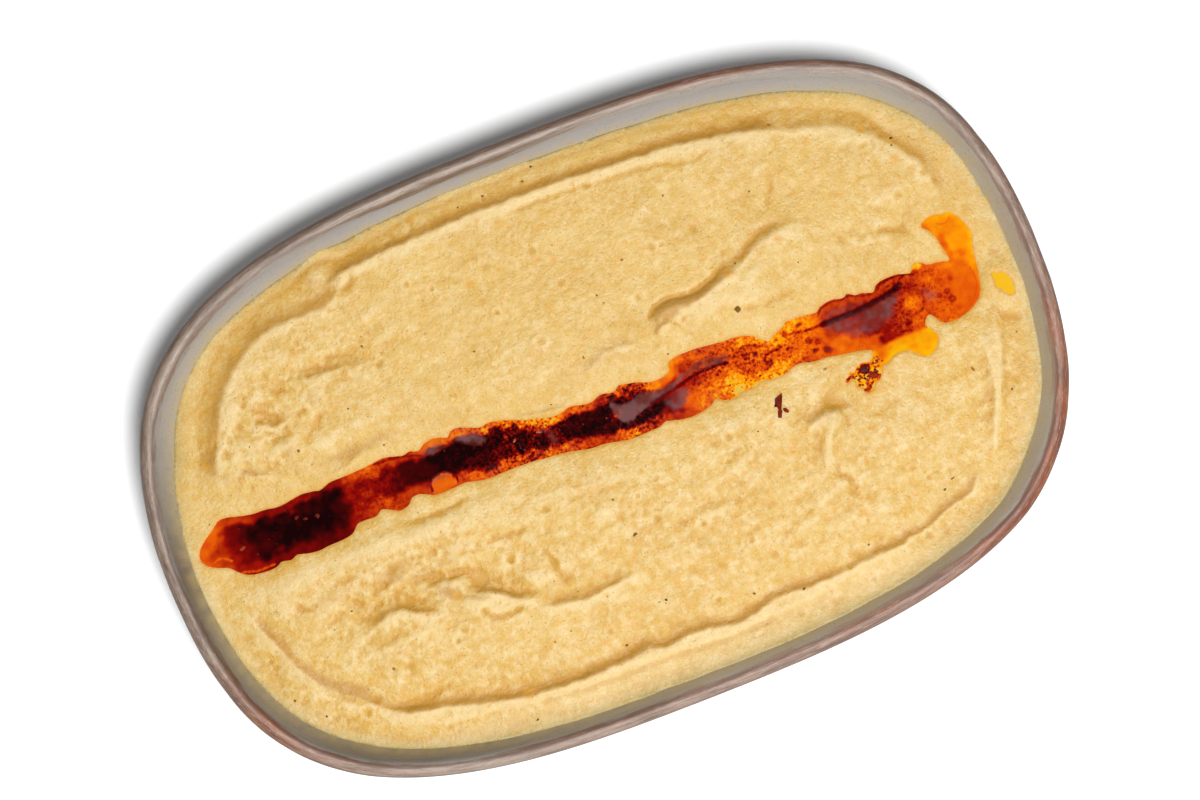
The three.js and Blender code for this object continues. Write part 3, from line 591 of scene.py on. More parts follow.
def fold_height(fold, x, y):
    _, _, rise, back, dip, front, run, _ = fold
    mask, away, strength = along_fold(fold, x, y)
    ahead, behind = np.minimum(away, 0), np.maximum(away, 0)
    face = 1 - np.exp(ahead * FACE_SLOPE / run)
    crest = rise * np.exp(-behind / back)
    hollow = -HOLLOW_SHARE * dip * np.exp(ahead / (2 * front))
    total = np.zeros(x.shape)
    total[mask] = strength * ((1 - face) * crest + face * hollow)
    return total


def fold_shade(fold, x, y):
    """How much painted shade darkens the paste down a fold's face, from 0 to 1."""
    run, shade = fold[6:]
    mask, away, strength = along_fold(fold, x, y)
    from_middle = away + FACE_MIDDLE * run
    above, below = SHADE_WIDTHS
    across = np.where(from_middle > 0, above * run, below * run)
    total = np.zeros(x.shape)
    total[mask] = strength * shade * np.exp(-(from_middle / across) ** 2)
    return total


def crease_height(crease, x, y):
    line, depth, half_width = crease
    line = SEEN * curve_through(line)
    total = np.zeros(x.shape)
    mask = near(x, y, line, 3 * half_width)
    distance, _, along, length = nearest_on(line, *jogged(x[mask], y[mask]))
    taper = smoothstep(*CREASE_END, along) * smoothstep(*CREASE_END, length - along)
    total[mask] = -depth * taper * np.exp(-(distance / half_width) ** 2)
    return total


def bump_height(bump, x, y):
    return bump[5] * np.exp(-from_patch(x, y, bump) ** 2 * BUMP_SLOPE)


def roughness_of(x, y):
    patches = [patch[5] * smoothstep(*ROUGH_EDGE, from_patch(x, y, patch)) for patch in ROUGH_PATCHES]
    amount, *band = ROUGH_GROOVE
    return np.maximum.reduce(patches + [amount * smoothstep(*band, oval_share(x, y))])


def pits(x, y):
    """Small round pits, each with a low lip, where bubbles broke."""
    rng = np.random.default_rng(17)
    total = np.zeros(x.shape)
    for cx, cy, radius, depth in rng.uniform(PIT_LEAST, PIT_MOST, (PITS, 4)):
        mask = (np.abs(x - cx) < 3 * radius) & (np.abs(y - cy) < 3 * radius)
        px, py = jogged(x[mask], y[mask])
        share = np.hypot(px - cx, py - cy) / radius
        total[mask] += depth * (0.5 * np.exp(-((share - 1.4) / 0.5) ** 2) - np.exp(-1.3 * share ** 2))
    return total


def surface_texture(x, y, away):
    """Undulation, spoon strokes and grain. It is calm on the banks of the oil."""
    rough = roughness_of(x, y)
    rim = smoothstep(0.82, 0.9, oval_share(x, y))
    calm = 0.4 + 0.6 * smoothstep(0.5, 7, away)
    swell = SWELL * clouds(x, y, size=17, seed=3, stretch=1.6)
    lumps = (LUMPS[0] + LUMPS[1] * rough) * clouds(x, y, size=5.2, seed=11, stretch=1.35, turn=25)
    curled = np.abs(clouds(*jogged(x, y), size=6.5, seed=13, octaves=1, stretch=1.5, turn=15)) - 0.2
    curls = (CURLS[0] + CURLS[1] * rough) * curled
    strokes = STROKES * (1 - rim) * clouds(x, y, size=2.6, seed=21, stretch=3.5, turn=4)
    grain = (GRAIN[0] + GRAIN[1] * rough + GRAIN_AT_RIM * rim) * clouds(x, y, size=1.5, seed=41)
    beads = BEADS * rough * np.maximum(clouds(x, y, size=2.1, seed=51, octaves=1) - 0.12, 0)
    return calm * (swell + lumps + curls + strokes + pits(x, y)) + grain + beads


def hummus_height(x, y):
    """(height, distance from the oil) of the hummus's top."""
    away = from_oil(x, y)
    rest = FILL_LEVEL + edge_rise(x, y) * smoothstep(*EDGE_BAND, oval_share(x, y))
    for shapes, height_of in ((FOLDS, fold_height), (CREASES, crease_height), (BUMPS, bump_height)):
        for shape in shapes:
            rest = rest + height_of(shape, x, y)
    rest = rest + surface_texture(x, y, away)

    sink, distance = BANK_SINK
    rest = rest - sink * (1 - smoothstep(0, distance, away))
    level = oil_level(x, y)
    rest = np.maximum(rest, level + ABOVE_OIL)
    foot = level + BANK_LIFT * np.tanh(away / BANK_FOOT)
    bank = foot + (rest - foot) * smoothstep(*BANK, away)
    depth = np.interp(x, *np.array(CHANNEL_DEPTH).T) * np.where(level > OIL_LEVEL + 0.2, SHALLOW, 1)
    return bank - depth * smoothstep(*CHANNEL_SIDE, -away), away


# ---- Meshes ----


def add_mesh(name, points, faces, material, smooth=True, **attributes):
    """A mesh piece from points in millimetres, riding on the dish.

    smooth is for the whole piece, or an array with a value for each face. An attribute is an array with a
    value or a vector for each point.
    """
    mesh = bpy.data.meshes.new(name)
    points = np.asarray(points, float) * MM
    mesh.from_pydata(points.tolist(), [], [tuple(map(int, face)) for face in faces])
    mesh.validate(clean_customdata=False)
    for key, values in attributes.items():
        values = np.asarray(values, float)
        kind, field = ("FLOAT", "value") if values.ndim == 1 else ("FLOAT_VECTOR", "vector")
        mesh.attributes.new(key, kind, "POINT").data.foreach_set(field, values.ravel())
    mesh.polygons.foreach_set("use_smooth", np.array(np.broadcast_to(smooth, len(mesh.polygons))))
    mesh.materials.append(material)
    mesh.update()
    piece = bpy.data.objects.new(name, mesh)
    bpy.context.collection.objects.link(piece)
    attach(piece, "root")
    return piece


def grid_over(low_x, high_x, low_y, high_y, step):
    """A grid's points and the middles of its cells: x, y, middle x, middle y."""
    x, y = np.meshgrid(np.arange(low_x, high_x + step, step), np.arange(low_y, high_y + step, step))
    return x, y, (x[1:, 1:] + x[:-1, :-1]) / 2, (y[1:, 1:] + y[:-1, :-1]) / 2


def cells_of(kept):
    """Corner numbers of a grid's kept cells, as quads that face up, and which of its points they use.

    Where two cells touch only at a corner, one beside them is kept too, so the edge never crosses itself.
    """
    kept = blurred(kept.astype(float), 1) > 0.5
    kept[1:, :-1] |= kept[:-1, :-1] & kept[1:, 1:] & ~kept[:-1, 1:]
    kept[:-1, :-1] |= kept[1:, :-1] & kept[:-1, 1:] & ~kept[1:, 1:]
    rows, columns = kept.shape
    used = np.zeros((rows + 1, columns + 1), bool)
    for down in (0, 1):
        for right in (0, 1):
            used[down:rows + down, right:columns + right] |= kept
    number = np.full(used.shape, -1)
    number[used] = np.arange(used.sum())
    row, column = np.nonzero(kept)
    corners = ((row, column), (row, column + 1), (row + 1, column + 1), (row + 1, column))
    return np.stack([number[corner] for corner in corners], 1), used


def rim_of(quads):
    """The closed loops of edges that only one quad has, each as a list of points in order."""
    edges = np.concatenate([quads[:, [k, (k + 1) % 4]] for k in range(4)])
    seen = set(map(tuple, edges.tolist()))
    following = {a: b for a, b in seen if (b, a) not in seen}
    loops = []
    while following:
        start, point = following.popitem()
        loop = [start]
        while point != start:
            loop.append(point)
            point = following.pop(point)
        loops.append(loop)
    return loops


def blurred(field, radius):
    """A grid field averaged over about radius cells, with its edges held."""
    kernel = np.exp(-0.5 * (np.arange(-3 * radius, 3 * radius + 1) / radius) ** 2)
    kernel /= kernel.sum()
    for axis in (0, 1):
        padded = np.pad(field, [(3 * radius * (k == axis),) * 2 for k in (0, 1)], mode="edge")
        field = np.apply_along_axis(np.convolve, axis, padded, kernel, "valid")
    return field


# ---- Materials ----

LIT = 1.46  # what the stage's light makes of a base colour on level ground
SCREEN_WHITE = 255
MIX_SOCKETS = (0, 6, 7)  # where a Mix node takes its share and its two colours
MIX_RESULT = 2


def seen_as(red, green, blue):
    """The base colour that shows on a screen as this one, from 0 to 255, level in the stage's light."""
    shares = (channel / SCREEN_WHITE for channel in (red, green, blue))
    linear = (c / 12.92 if c <= 0.04045 else ((c + 0.055) / 1.055) ** 2.4 for c in shares)
    return tuple(c / LIT for c in linear) + (1.0,)


class Surface:
    """A node material round one Principled shader. Its methods add nodes and return their output sockets."""

    def __init__(self, name):
        self.material = bpy.data.materials.new(name)
        self.material.use_nodes = True
        self.tree = self.material.node_tree
        self.shader = self.tree.nodes["Principled BSDF"]

    def plug(self, value, socket):
        """Link another node's output into a socket, or set the socket where value is a plain one."""
        if isinstance(value, bpy.types.NodeSocket):
            self.tree.links.new(value, socket)
        else:
            socket.default_value = value

    def set(self, **values):
        for name, value in values.items():
            self.plug(value, self.shader.inputs[name.replace("_", " ")])
        return self.material

    def node(self, kind, inputs=(), **settings):
        made = self.tree.nodes.new(kind)
        for name, value in settings.items():
            setattr(made, name, value)
        for name, value in dict(inputs).items():
            self.plug(value, made.inputs[name])
        return made

    def attribute(self, name, output="Fac"):
        return self.node("ShaderNodeAttribute", attribute_name=name).outputs[output]

    def noise(self, size, detail=2.0, roughness=0.55, distortion=0.0):
        """Noise with features about size millimetres across."""
        place = self.node("ShaderNodeTexCoord").outputs["Object"]
        return self.noise_at(place, 1 / (size * MM), detail, roughness, distortion)

    def noise_at(self, place, scale, detail, roughness, distortion=0.0):
        inputs = {"Vector": place, "Scale": scale, "Detail": detail, "Roughness": roughness,
                  "Distortion": distortion}
        return self.node("ShaderNodeTexNoise", inputs).outputs["Fac"]

    def ramp(self, value, *stops):
        """A smooth ramp. Each stop is (position, colour)."""
        ramp = self.node("ShaderNodeValToRGB", {"Fac": value})
        elements = ramp.color_ramp.elements
        while len(elements) < len(stops):
            elements.new(0.5)
        for element, (position, colour) in zip(elements, stops):
            element.position = position
            element.color = colour
        return ramp.outputs["Color"]

    def between(self, value, low, high, to_low=0.0, to_high=1.0):
        """value from low to high, smoothly, as to_low to to_high."""
        inputs = {"Value": value, "From Min": low, "From Max": high, "To Min": to_low, "To Max": to_high}
        return self.node("ShaderNodeMapRange", inputs, interpolation_type="SMOOTHSTEP").outputs["Result"]

    def math(self, operation, first, second=0.0):
        made = self.node("ShaderNodeMath", operation=operation)
        self.plug(first, made.inputs[0])
        self.plug(second, made.inputs[1])
        return made.outputs[0]

    def add(self, first, second):
        return self.math("ADD", first, second)

    def times(self, first, second):
        return self.math("MULTIPLY", first, second)

    def mix(self, share, first, second, blend="MIX"):
        made = self.node("ShaderNodeMix", data_type="RGBA", blend_type=blend)
        for socket, value in zip(MIX_SOCKETS, (share, first, second)):
            self.plug(value, made.inputs[socket])
        return made.outputs[MIX_RESULT]

    def bump(self, height, distance, strength=1.0):
        inputs = {"Height": height, "Distance": distance * MM, "Strength": strength}
        return self.node("ShaderNodeBump", inputs).outputs["Normal"]


def hummus_material():
    """Moist paste with warm mottles and dark grains, a painted highlight in cream where it crowns, and
    painted shade in ochre in its hollows and down its folds' faces.
    """
    s = Surface("hummus_paste")
    cream, ochre = seen_as(249, 221, 160), seen_as(232, 176, 58)
    mottled = s.attribute("mottled")
    broad = s.between(s.noise(16, detail=3), 0.35, 0.68)
    colour = s.mix(broad, seen_as(238, 199, 111), seen_as(230, 187, 95))
    fine = s.noise(2.0, detail=3, roughness=0.6)
    for pattern, share in ((s.noise(5.0), 0.4), (fine, 0.6)):
        colour = s.mix(s.times(s.between(pattern, 0.5, 0.68, 0, share), mottled), colour, ochre)
        colour = s.mix(s.times(s.between(pattern, 0.5, 0.32, 0, share), mottled), colour, cream)
    grit = s.noise(0.6, detail=3, roughness=0.7)
    grains = s.noise(0.55, detail=0)
    for share, tint in (
        (s.between(grit, 0.52, 0.72, 0, 0.55), seen_as(214, 158, 58)),
        (s.between(grit, 0.46, 0.28, 0, 0.55), cream),
        # the next two: painted shade in the hollows, and a painted highlight on the crowns
        (s.between(s.attribute("hollow"), 0, 1, 0, 0.9), seen_as(216, 156, 40)),
        (s.between(s.attribute("crown_light"), 0, 1, 0, 0.7), cream),
        # painted shade down the folds' faces, and the deeper paste of its patches
        (s.between(s.attribute("shade"), 0, 1, 0, 0.78), seen_as(202, 146, 50)),
        (s.attribute("stain"), seen_as(236, 158, 40)),
        (s.attribute("warm"), seen_as(236, 172, 56)),
        (s.between(grains, 0.76, 0.82, 0, 0.5), seen_as(150, 112, 62)),
        (s.attribute("thin"), seen_as(206, 186, 132)),
    ):
        colour = s.mix(share, colour, tint)
    rough = s.between(s.noise(3), 0.3, 0.7, 0.42, 0.58)
    height = s.add(s.times(s.noise(0.8, detail=3), 0.9), s.times(fine, 0.9))
    return s.set(
        Base_Color=colour, Roughness=rough, IOR=1.42, Subsurface_Weight=0.35,
        Subsurface_Radius=(2.6 * MM, 1.3 * MM, 0.5 * MM), Subsurface_Scale=1.0,
        Normal=s.bump(height, distance=0.3, strength=0.8),
    )


# The oil's colour by its tone, from clear to thick: (tone, colour on the screen).
OIL_COLOURS = (
    (0.0, (222, 186, 98)), (0.05, (242, 192, 44)), (0.1, (252, 184, 8)), (0.18, (253, 152, 3)),
    (0.3, (240, 108, 4)), (0.42, (222, 78, 4)), (0.52, (190, 52, 4)), (0.61, (158, 16, 3)),
    (0.7, (124, 4, 2)), (0.82, (76, 1, 2)), (1.0, (22, 0, 1)),
)
FLAKE_COLOURS = ((0.0, (60, 12, 8)), (0.35, (116, 26, 14)), (0.7, (164, 62, 28)), (1.0, (196, 104, 66)))
SPECK_COLOURS = ((0.0, (84, 58, 32)), (0.5, (156, 106, 42)), (1.0, (204, 150, 70)))


def by_tone(s, tone, colours):
    return s.ramp(tone, *((at, seen_as(*colour)) for at, colour in colours))


def oil_material():
    """Chilli oil: yellow where thin, through orange and red to nearly black where the sediment is thick, with
    a painted reflection in lilac-grey over patches of it.
    """
    s = Surface("chilli_oil_clear")
    amount = s.attribute("granules")
    fine = s.math("SUBTRACT", s.noise(0.9, detail=3, roughness=0.6), 0.5)
    tone = s.add(s.attribute("tone"), s.times(fine, s.between(amount, 0, 1, 0.05, 0.26)))
    crumbs = s.noise(0.75)
    grainy = s.between(amount, 0.25, 0.9)
    tone = s.add(tone, s.times(s.between(crumbs, 0.56, 0.63, 0, 0.32), grainy))
    tone = s.math("SUBTRACT", tone, s.times(s.between(crumbs, 0.45, 0.38, 0, 0.16), grainy))
    curls = s.math("ABSOLUTE", s.math("SUBTRACT", s.noise(2.6, detail=1, distortion=0.4), 0.5))
    some = s.times(s.between(s.noise(3.6), 0.42, 0.6), s.between(amount, 0.3, 0.9))
    tone = s.add(tone, s.times(s.between(curls, 0.13, 0.02, 0, 0.17), some))
    # The painted reflection: lilac-grey over the oil where film is high.
    film = s.mix(s.between(s.noise(5), 0.4, 0.6), seen_as(112, 50, 42), seen_as(128, 84, 84))
    reflection_share = s.between(s.attribute("film"), 0, 1, 0, 0.88)
    colour = s.mix(reflection_share, by_tone(s, tone, OIL_COLOURS), film)
    return s.set(Base_Color=colour, Roughness=0.04, IOR=1.47, Specular_IOR_Level=0.1)


def flake_material():
    s = Surface("chilli_flake_skin")
    dark = s.between(s.noise(0.6), 0.4, 0.7, 0, 0.4)
    colour = s.mix(dark, by_tone(s, s.attribute("tone"), FLAKE_COLOURS), seen_as(56, 8, 6))
    return s.set(Base_Color=colour, Roughness=0.5, IOR=1.45, Specular_IOR_Level=0.1)


def speck_material():
    s = Surface("chickpea_skin_specks")
    dark = s.between(s.noise(0.4), 0.4, 0.7, 0, 0.4)
    colour = s.mix(dark, by_tone(s, s.attribute("tone"), SPECK_COLOURS), seen_as(116, 72, 28))
    return s.set(Base_Color=colour, Roughness=0.5, Specular_IOR_Level=0.15)


def band_colour(s, streak, copper):
    """The rim's colour: brown to copper, pale on its crest partly as a painted highlight, with threads drawn
    out along it.
    """
    streaky = s.between(streak, 0.32, 0.68)
    threads = s.noise_at(s.attribute("flow", "Vector"), 3.4, detail=3, roughness=0.7)
    band = s.mix(streaky, seen_as(154, 130, 112), seen_as(120, 95, 78))
    coppery = s.mix(streaky, seen_as(172, 94, 54), seen_as(122, 62, 35))
    for share, tint in (
        (copper, coppery),
        (s.times(s.attribute("pale_and_highlight"), s.between(streak, 0.7, 0.35, 0.4, 1)), seen_as(198, 178, 162)),
        (s.between(threads, 0.5, 0.68, 0, 0.4), seen_as(98, 74, 60)),
        (s.between(threads, 0.5, 0.32, 0, 0.4), seen_as(206, 186, 170)),
    ):
        band = s.mix(share, band, tint)
    return band


def glaze_material():
    """Reactive glaze: grey in the bowl, brown to copper on the rim, pale on its crest, dark at its break,
    with painted highlight and shade on the rim and painted light and shade on the wall.
    """
    s = Surface("stoneware_glaze")
    copper, shade, bare = s.attribute("copper"), s.attribute("shade"), s.attribute("bare")
    streak = s.noise_at(s.attribute("flow", "Vector"), 1.0, detail=4, roughness=0.6)
    streaky = s.between(streak, 0.32, 0.68)
    fine = s.noise(0.5)

    bowl = s.mix(streaky, seen_as(185, 180, 173), seen_as(166, 160, 152))
    # painted light: the low wall paler and bluer where it faces the lamps
    bowl = s.mix(s.attribute("lit_low_wall"), bowl, seen_as(187, 189, 197))
    line = s.mix(copper, seen_as(118, 90, 71), seen_as(116, 68, 42))
    outside = s.mix(streaky, seen_as(110, 98, 86), seen_as(84, 70, 58))
    clay = s.mix(s.between(s.noise(1.2), 0.4, 0.6), seen_as(168, 140, 112), seen_as(146, 118, 92))

    past = s.add(s.attribute("past_break"), s.between(streak, 0.3, 0.7, -0.4, 0.4))
    at_break = s.between(s.math("ABSOLUTE", past), 0.75, 0.1)
    colour = s.mix(s.between(past, 0, 1), band_colour(s, streak, copper), bowl)
    colour = s.mix(s.times(at_break, s.attribute("line")), colour, line)
    # Painted shade on the wall where shade is above zero.
    colour = s.mix(s.between(shade, 0, 1), colour, seen_as(70, 52, 30), "MULTIPLY")
    for share, tint in (
        # painted light on the wall where shade is below zero
        (s.between(shade, 0, -1), seen_as(240, 230, 214)),
        (s.attribute("smear"), seen_as(212, 190, 138)),
        # the dark outer edge, with painted shade on the far side
        (s.attribute("edge_dark_and_shade"), seen_as(84, 66, 54)),
        (s.between(s.attribute("inset"), -2.2, -5.7), outside),
        (s.between(fine, 0.62, 0.72, 0, 0.5), seen_as(92, 78, 66)),
        (bare, clay),
    ):
        colour = s.mix(share, colour, tint)
    height = s.add(s.noise(1.1, detail=3), s.times(fine, 0.5))
    return s.set(
        Base_Color=colour, Roughness=s.between(bare, 0.4, 0.6, 0.5, 0.85), IOR=1.5,
        Normal=s.bump(height, distance=0.05, strength=0.5),
    )


# ---- The dish ----

DISH_COLUMNS = 420
ROLL_STEPS = 14  # points round the rim's roll
HALF_RIM = RIM_RADIUS * math.pi / 2  # the length over the rim from its crest to its outer edge

# The rim's wander and sag come in over these heights, and die off over these lengths from its crest.
LOOSE_ABOVE = (4, 26)
LOOSE_WITHIN = (30, 12)
SAG = 0.5  # how far it sags for each unit of noise below zero

# The rim's glaze: (angle round the dish in degrees, how coppery it is, how pale its crest is, partly as a
# painted highlight, how far in from the outer edge it breaks to the bowl's glaze, how dark that break is,
# and the wall's painted shade, which is below zero where it is painted light instead).
GLAZE = (
    (-180, 0.0, 0.2, 2.9, 0.7, 0.65), (-165, 0.0, 0.1, 3.7, 0.5, 0.45), (-150, 0.8, 0.0, 3.2, 0.8, 0.4),
    (-135, 0.3, 0.5, 2.9, 1.0, 0.5), (-120, 0.0, 0.8, 2.6, 0.5, 0.45), (-105, 0.25, 0.5, 3.3, 0.6, 0.15),
    (-90, 0.35, 0.35, 3.3, 0.6, -0.45), (-75, 0.4, 0.35, 3.5, 0.6, -0.45), (-60, 0.6, 0.3, 3.6, 0.5, -0.4),
    (-48, 1.0, 0.0, 2.9, 1.0, -0.4), (-30, 1.0, 0.0, 3.4, 0.9, -0.4), (-15, 0.95, 0.2, 3.5, 0.5, -0.3),
    (0, 0.4, 0.4, 3.2, 0.7, -0.3), (15, 0.3, 0.5, 3.2, 0.5, -0.3), (30, 0.15, 0.6, 3.1, 0.3, -0.2),
    (45, 0.6, 0.7, 2.8, 0.0, -0.15), (60, 0.8, 0.5, 2.8, 0.0, 0.0), (75, 0.5, 0.5, 2.9, 0.0, 0.05),
    (90, 0.1, 0.6, 3.8, 0.6, 0.05), (105, 0.0, 0.6, 3.9, 0.5, 0.05), (120, 0.0, 0.2, 3.0, 0.1, 0.05),
    (135, 0.0, 0.5, 3.4, 0.4, 0.05), (150, 0.0, 0.3, 3.3, 0.4, 0.15), (165, 0.0, 0.2, 3.1, 0.2, 0.4),
    (180, 0.0, 0.2, 2.9, 0.7, 0.65),
)

# Distances in from the rim's outer edge over which the glaze changes.
CREST_BAND = (1.6, 0.4)  # on both sides of the crest's light
COPPER_END = (1.4, 2.6)  # on the far side, where copper stays outside the crest
# painted shade, as a faint dark veil over the far side's rim
SHADE_VEIL_END = (3.0, 1.6)  # of the faint dark veil over the far side's rim
LIT_LOW_WALL = (3.4, 5.8)
SHADE_START = (2.2, 4.2)
FOOT_BARE = 1.5  # the foot is bare clay up to this height
UNDER_LENGTH = -30  # the section's points before this length from the crest are under the dish


def dish_profile():
    """The section from the underside to the floor: (radius, height), and each one's length from the crest."""
    foot = from_axis(FOOT)
    outer = curve_through(from_axis(OUTER_WALL), steps=6)
    rim = from_axis([roll_point(turn) for turn in np.linspace(0, ROLL_END, ROLL_STEPS)])
    points = np.array([*foot, *outer, *rim, *INNER_SECTION[1:], *from_axis([FLOOR_EDGE])])
    lengths = np.concatenate([[0], np.cumsum(np.hypot(*np.diff(points, axis=0).T))])
    crest = lengths[len(foot) + len(outer) + len(rim) // 2]
    return points, lengths - crest


def dish_points(profile, from_crest, angle):
    """The section swept round the oval, its rim drawn in and sagging a little as a hand-made one does."""
    across, up = unit_oval(angle)
    radius, height = profile[:, :1], profile[:, 1:]
    loose = smoothstep(*LOOSE_ABOVE, height) * smoothstep(*LOOSE_WITHIN, np.abs(from_crest))[:, None]
    inward = -drawn_in(angle) * loose
    sag = SAG * np.minimum(noise_round(angle, radius=2, middle=30, seed=72), 0) * loose
    points = (radius + SPREAD + inward) * across, (radius + inward) * up, height + sag
    return np.stack(points, -1).reshape(-1, 3)


def dish_faces(rows):
    """Quads from each row of points to the next, the underside and the floor."""
    column = np.arange(DISH_COLUMNS)
    following = (column + 1) % DISH_COLUMNS
    quads = []
    for low in DISH_COLUMNS * np.arange(rows - 1):
        high = low + DISH_COLUMNS
        quads.append(np.stack([low + column, low + following, high + following, high + column], 1))
    underside, floor = column[::-1], (rows - 1) * DISH_COLUMNS + column
    return [*map(tuple, np.concatenate(quads)), tuple(underside), tuple(floor)]


def smear_at(points, facing_far):
    """How much hummus is smeared on the wall above its edge."""
    edge, _ = edge_radius(points[:, 0], points[:, 1])
    bared = (oval_share(points[:, 0], points[:, 1], edge) - 1) * edge
    patchy = np.clip(0.8 + 0.7 * clouds(points[:, 0], points[:, 1], size=2.4, seed=79), 0, 1)
    return 0.75 * patchy * smoothstep(1.9 + 0.4 * facing_far, 0, bared)


def glaze_fields(around, from_crest, inset, points):
    """What the glaze's colour goes by at each point of the dish."""
    copper, pale_and_highlight, break_at, line, shade = round_dish(GLAZE, around)
    facing_far = np.clip(np.sin(around), 0, 1)
    # The pale crest lies where the light falls on the roll, so it is partly a painted highlight.
    crest_light = RIM_RADIUS - 0.2 + 0.9 * np.sin(around)
    # The outer edge is dark, and wider and darker on the far side as painted shade; a faint veil of painted
    # shade lies over the far side's rim.
    edge_dark_and_shade = (0.5 + 0.25 * facing_far) * smoothstep(0.7 + 0.7 * facing_far, 0.1 + 0.5 * facing_far, inset)
    copper = np.clip(copper * (1 + 0.9 * noise(around * 6, inset * 0.3, seed=73)), 0, 1)
    # Painted light on the low wall, most where it faces the lamps.
    toward_light = np.clip(0.55 + 0.8 * np.sin(around) + 0.3 * np.cos(around), 0, 1)
    return {
        "inset": inset,
        "past_break": inset - break_at,
        "flow": np.stack([9 * np.cos(around), 9 * np.sin(around), from_crest * 0.9], 1),
        "copper": copper * (1 - facing_far * smoothstep(*COPPER_END, inset)),
        "pale_and_highlight": pale_and_highlight * smoothstep(*CREST_BAND, np.abs(inset - crest_light)),
        "line": line,
        "edge_dark_and_shade": np.maximum(edge_dark_and_shade, 0.22 * facing_far * smoothstep(*SHADE_VEIL_END, inset)),
        "bare": (points[:, 2] < FOOT_BARE) & (from_crest < UNDER_LENGTH),
        "shade": shade * smoothstep(*SHADE_START, inset),
        "smear": smear_at(points, facing_far) * (from_crest > 0),
        "lit_low_wall": toward_light * smoothstep(*LIT_LOW_WALL, inset),
    }


def make_dish():
    profile, from_crest = dish_profile()
    angle = np.arange(DISH_COLUMNS) / DISH_COLUMNS * 2 * math.pi
    points = dish_points(profile, from_crest, angle)
    outside = from_crest < -HALF_RIM
    inset = np.where(outside, from_crest + HALF_RIM, HALF_WIDTH - profile[:, 0])
    around = np.tile(angle, len(profile))
    every = np.repeat(from_crest, DISH_COLUMNS)
    fields = glaze_fields(around, every, np.repeat(inset, DISH_COLUMNS), points)
    return add_mesh("dish_glazed", points, dish_faces(len(profile)), glaze_material(), **fields)


# ---- The hummus ----

SMEAR = (0.75, 1.3)  # the film up the wall: its height, and the distance over which it rises
INTO_WALL = 0.35
GRID_INSET = 4
OFF_MIDDLE = 1e-6  # keeps a grid's points off the dish's very middle, where they have no direction
CLEAR_OF_DISH = 0.3
EDGE_PROBE = 0.94  # share of the way out at which the fill's level at the wall is read
EDGE_WAVES = ((0.5, 9, 81), (0.12, 34, 82))  # the edge's waves: (height, radius they are read on, seed)
LOBE = (1.5, -54, 5)  # a lobe of hummus up the far wall: (height, x, half width)
SPECKLE = 240  # how many warm bits lie where chance has it
SPECKLE_SIZE = (0.3, 0.4)  # the least radius of one, and how much more it may have


def edge_radius(x, y):
    """The radius at which the hummus meets the wall, in the direction of each point, and its height there."""
    share = oval_share(x, y)
    ex, ey = x / share * EDGE_PROBE, y / share * EDGE_PROBE
    angle = np.arctan2(ey, ex)
    ragged = sum(height * noise_round(angle, radius, 40, seed) for height, radius, seed in EDGE_WAVES)
    rise, lobe_x, half_width = LOBE
    lobe = rise * np.exp(-((ex - lobe_x) / half_width) ** 2) * (ey > 0)
    height = FILL_LEVEL + edge_rise(ex, ey) + SMEAR[0] + ragged + lobe
    around = np.arctan2(ey / HALF_WIDTH, ex / HALF_LENGTH)
    return wall_radius(height) - drawn_in(around), height


def hummus_grid():
    """The hummus's grid: x and y of its points, its quads, which points they use, the loop at its edge."""
    half_x, half_y = HALF_LENGTH - GRID_INSET, HALF_WIDTH - GRID_INSET
    x, y, middle_x, middle_y = grid_over(-half_x, half_x, -half_y, half_y, CELL)
    radius, _ = edge_radius(middle_x + OFF_MIDDLE, middle_y + OFF_MIDDLE)
    quads, used = cells_of(oval_share(middle_x, middle_y, radius) < 1)
    (loop,) = rim_of(quads)
    return x[used], y[used], quads, used, loop


def warmth(x, y):
    """How much a bit of warmer chickpea shows."""
    rng = np.random.default_rng(19)
    places = rng.uniform(-100, 100, SPECKLE), rng.uniform(-62, 62, SPECKLE)
    least, more = SPECKLE_SIZE
    strewn = zip(*places, least + more * rng.uniform(0, 1, SPECKLE) ** 3)
    uneven = 0.8 * clouds(x, y, size=1.5, seed=89)
    warm = np.zeros(len(x))
    for cx, cy, reach in (*WARM_SPOTS, *strewn):
        apart = from_spot(x, y, cx, cy) + uneven
        warm = np.maximum(warm, 0.65 * smoothstep(reach * 1.3, reach * 0.5, apart))
    return warm


def shade_at(x, y):
    """How much the paste is darkened by painted shade on the folds' faces, and in its deeper patches."""
    ragged = 0.5 * clouds(x, y, size=2.4, seed=85, octaves=3)
    shade = sum(fold_shade(fold, x, y) for fold in FOLDS)
    for patch in DEEP_AND_SHADE_PATCHES:
        shade = shade + patch[5] * smoothstep(1.2, 0.2, from_patch(x, y, patch) + ragged)
    return np.clip(shade, 0, 1)


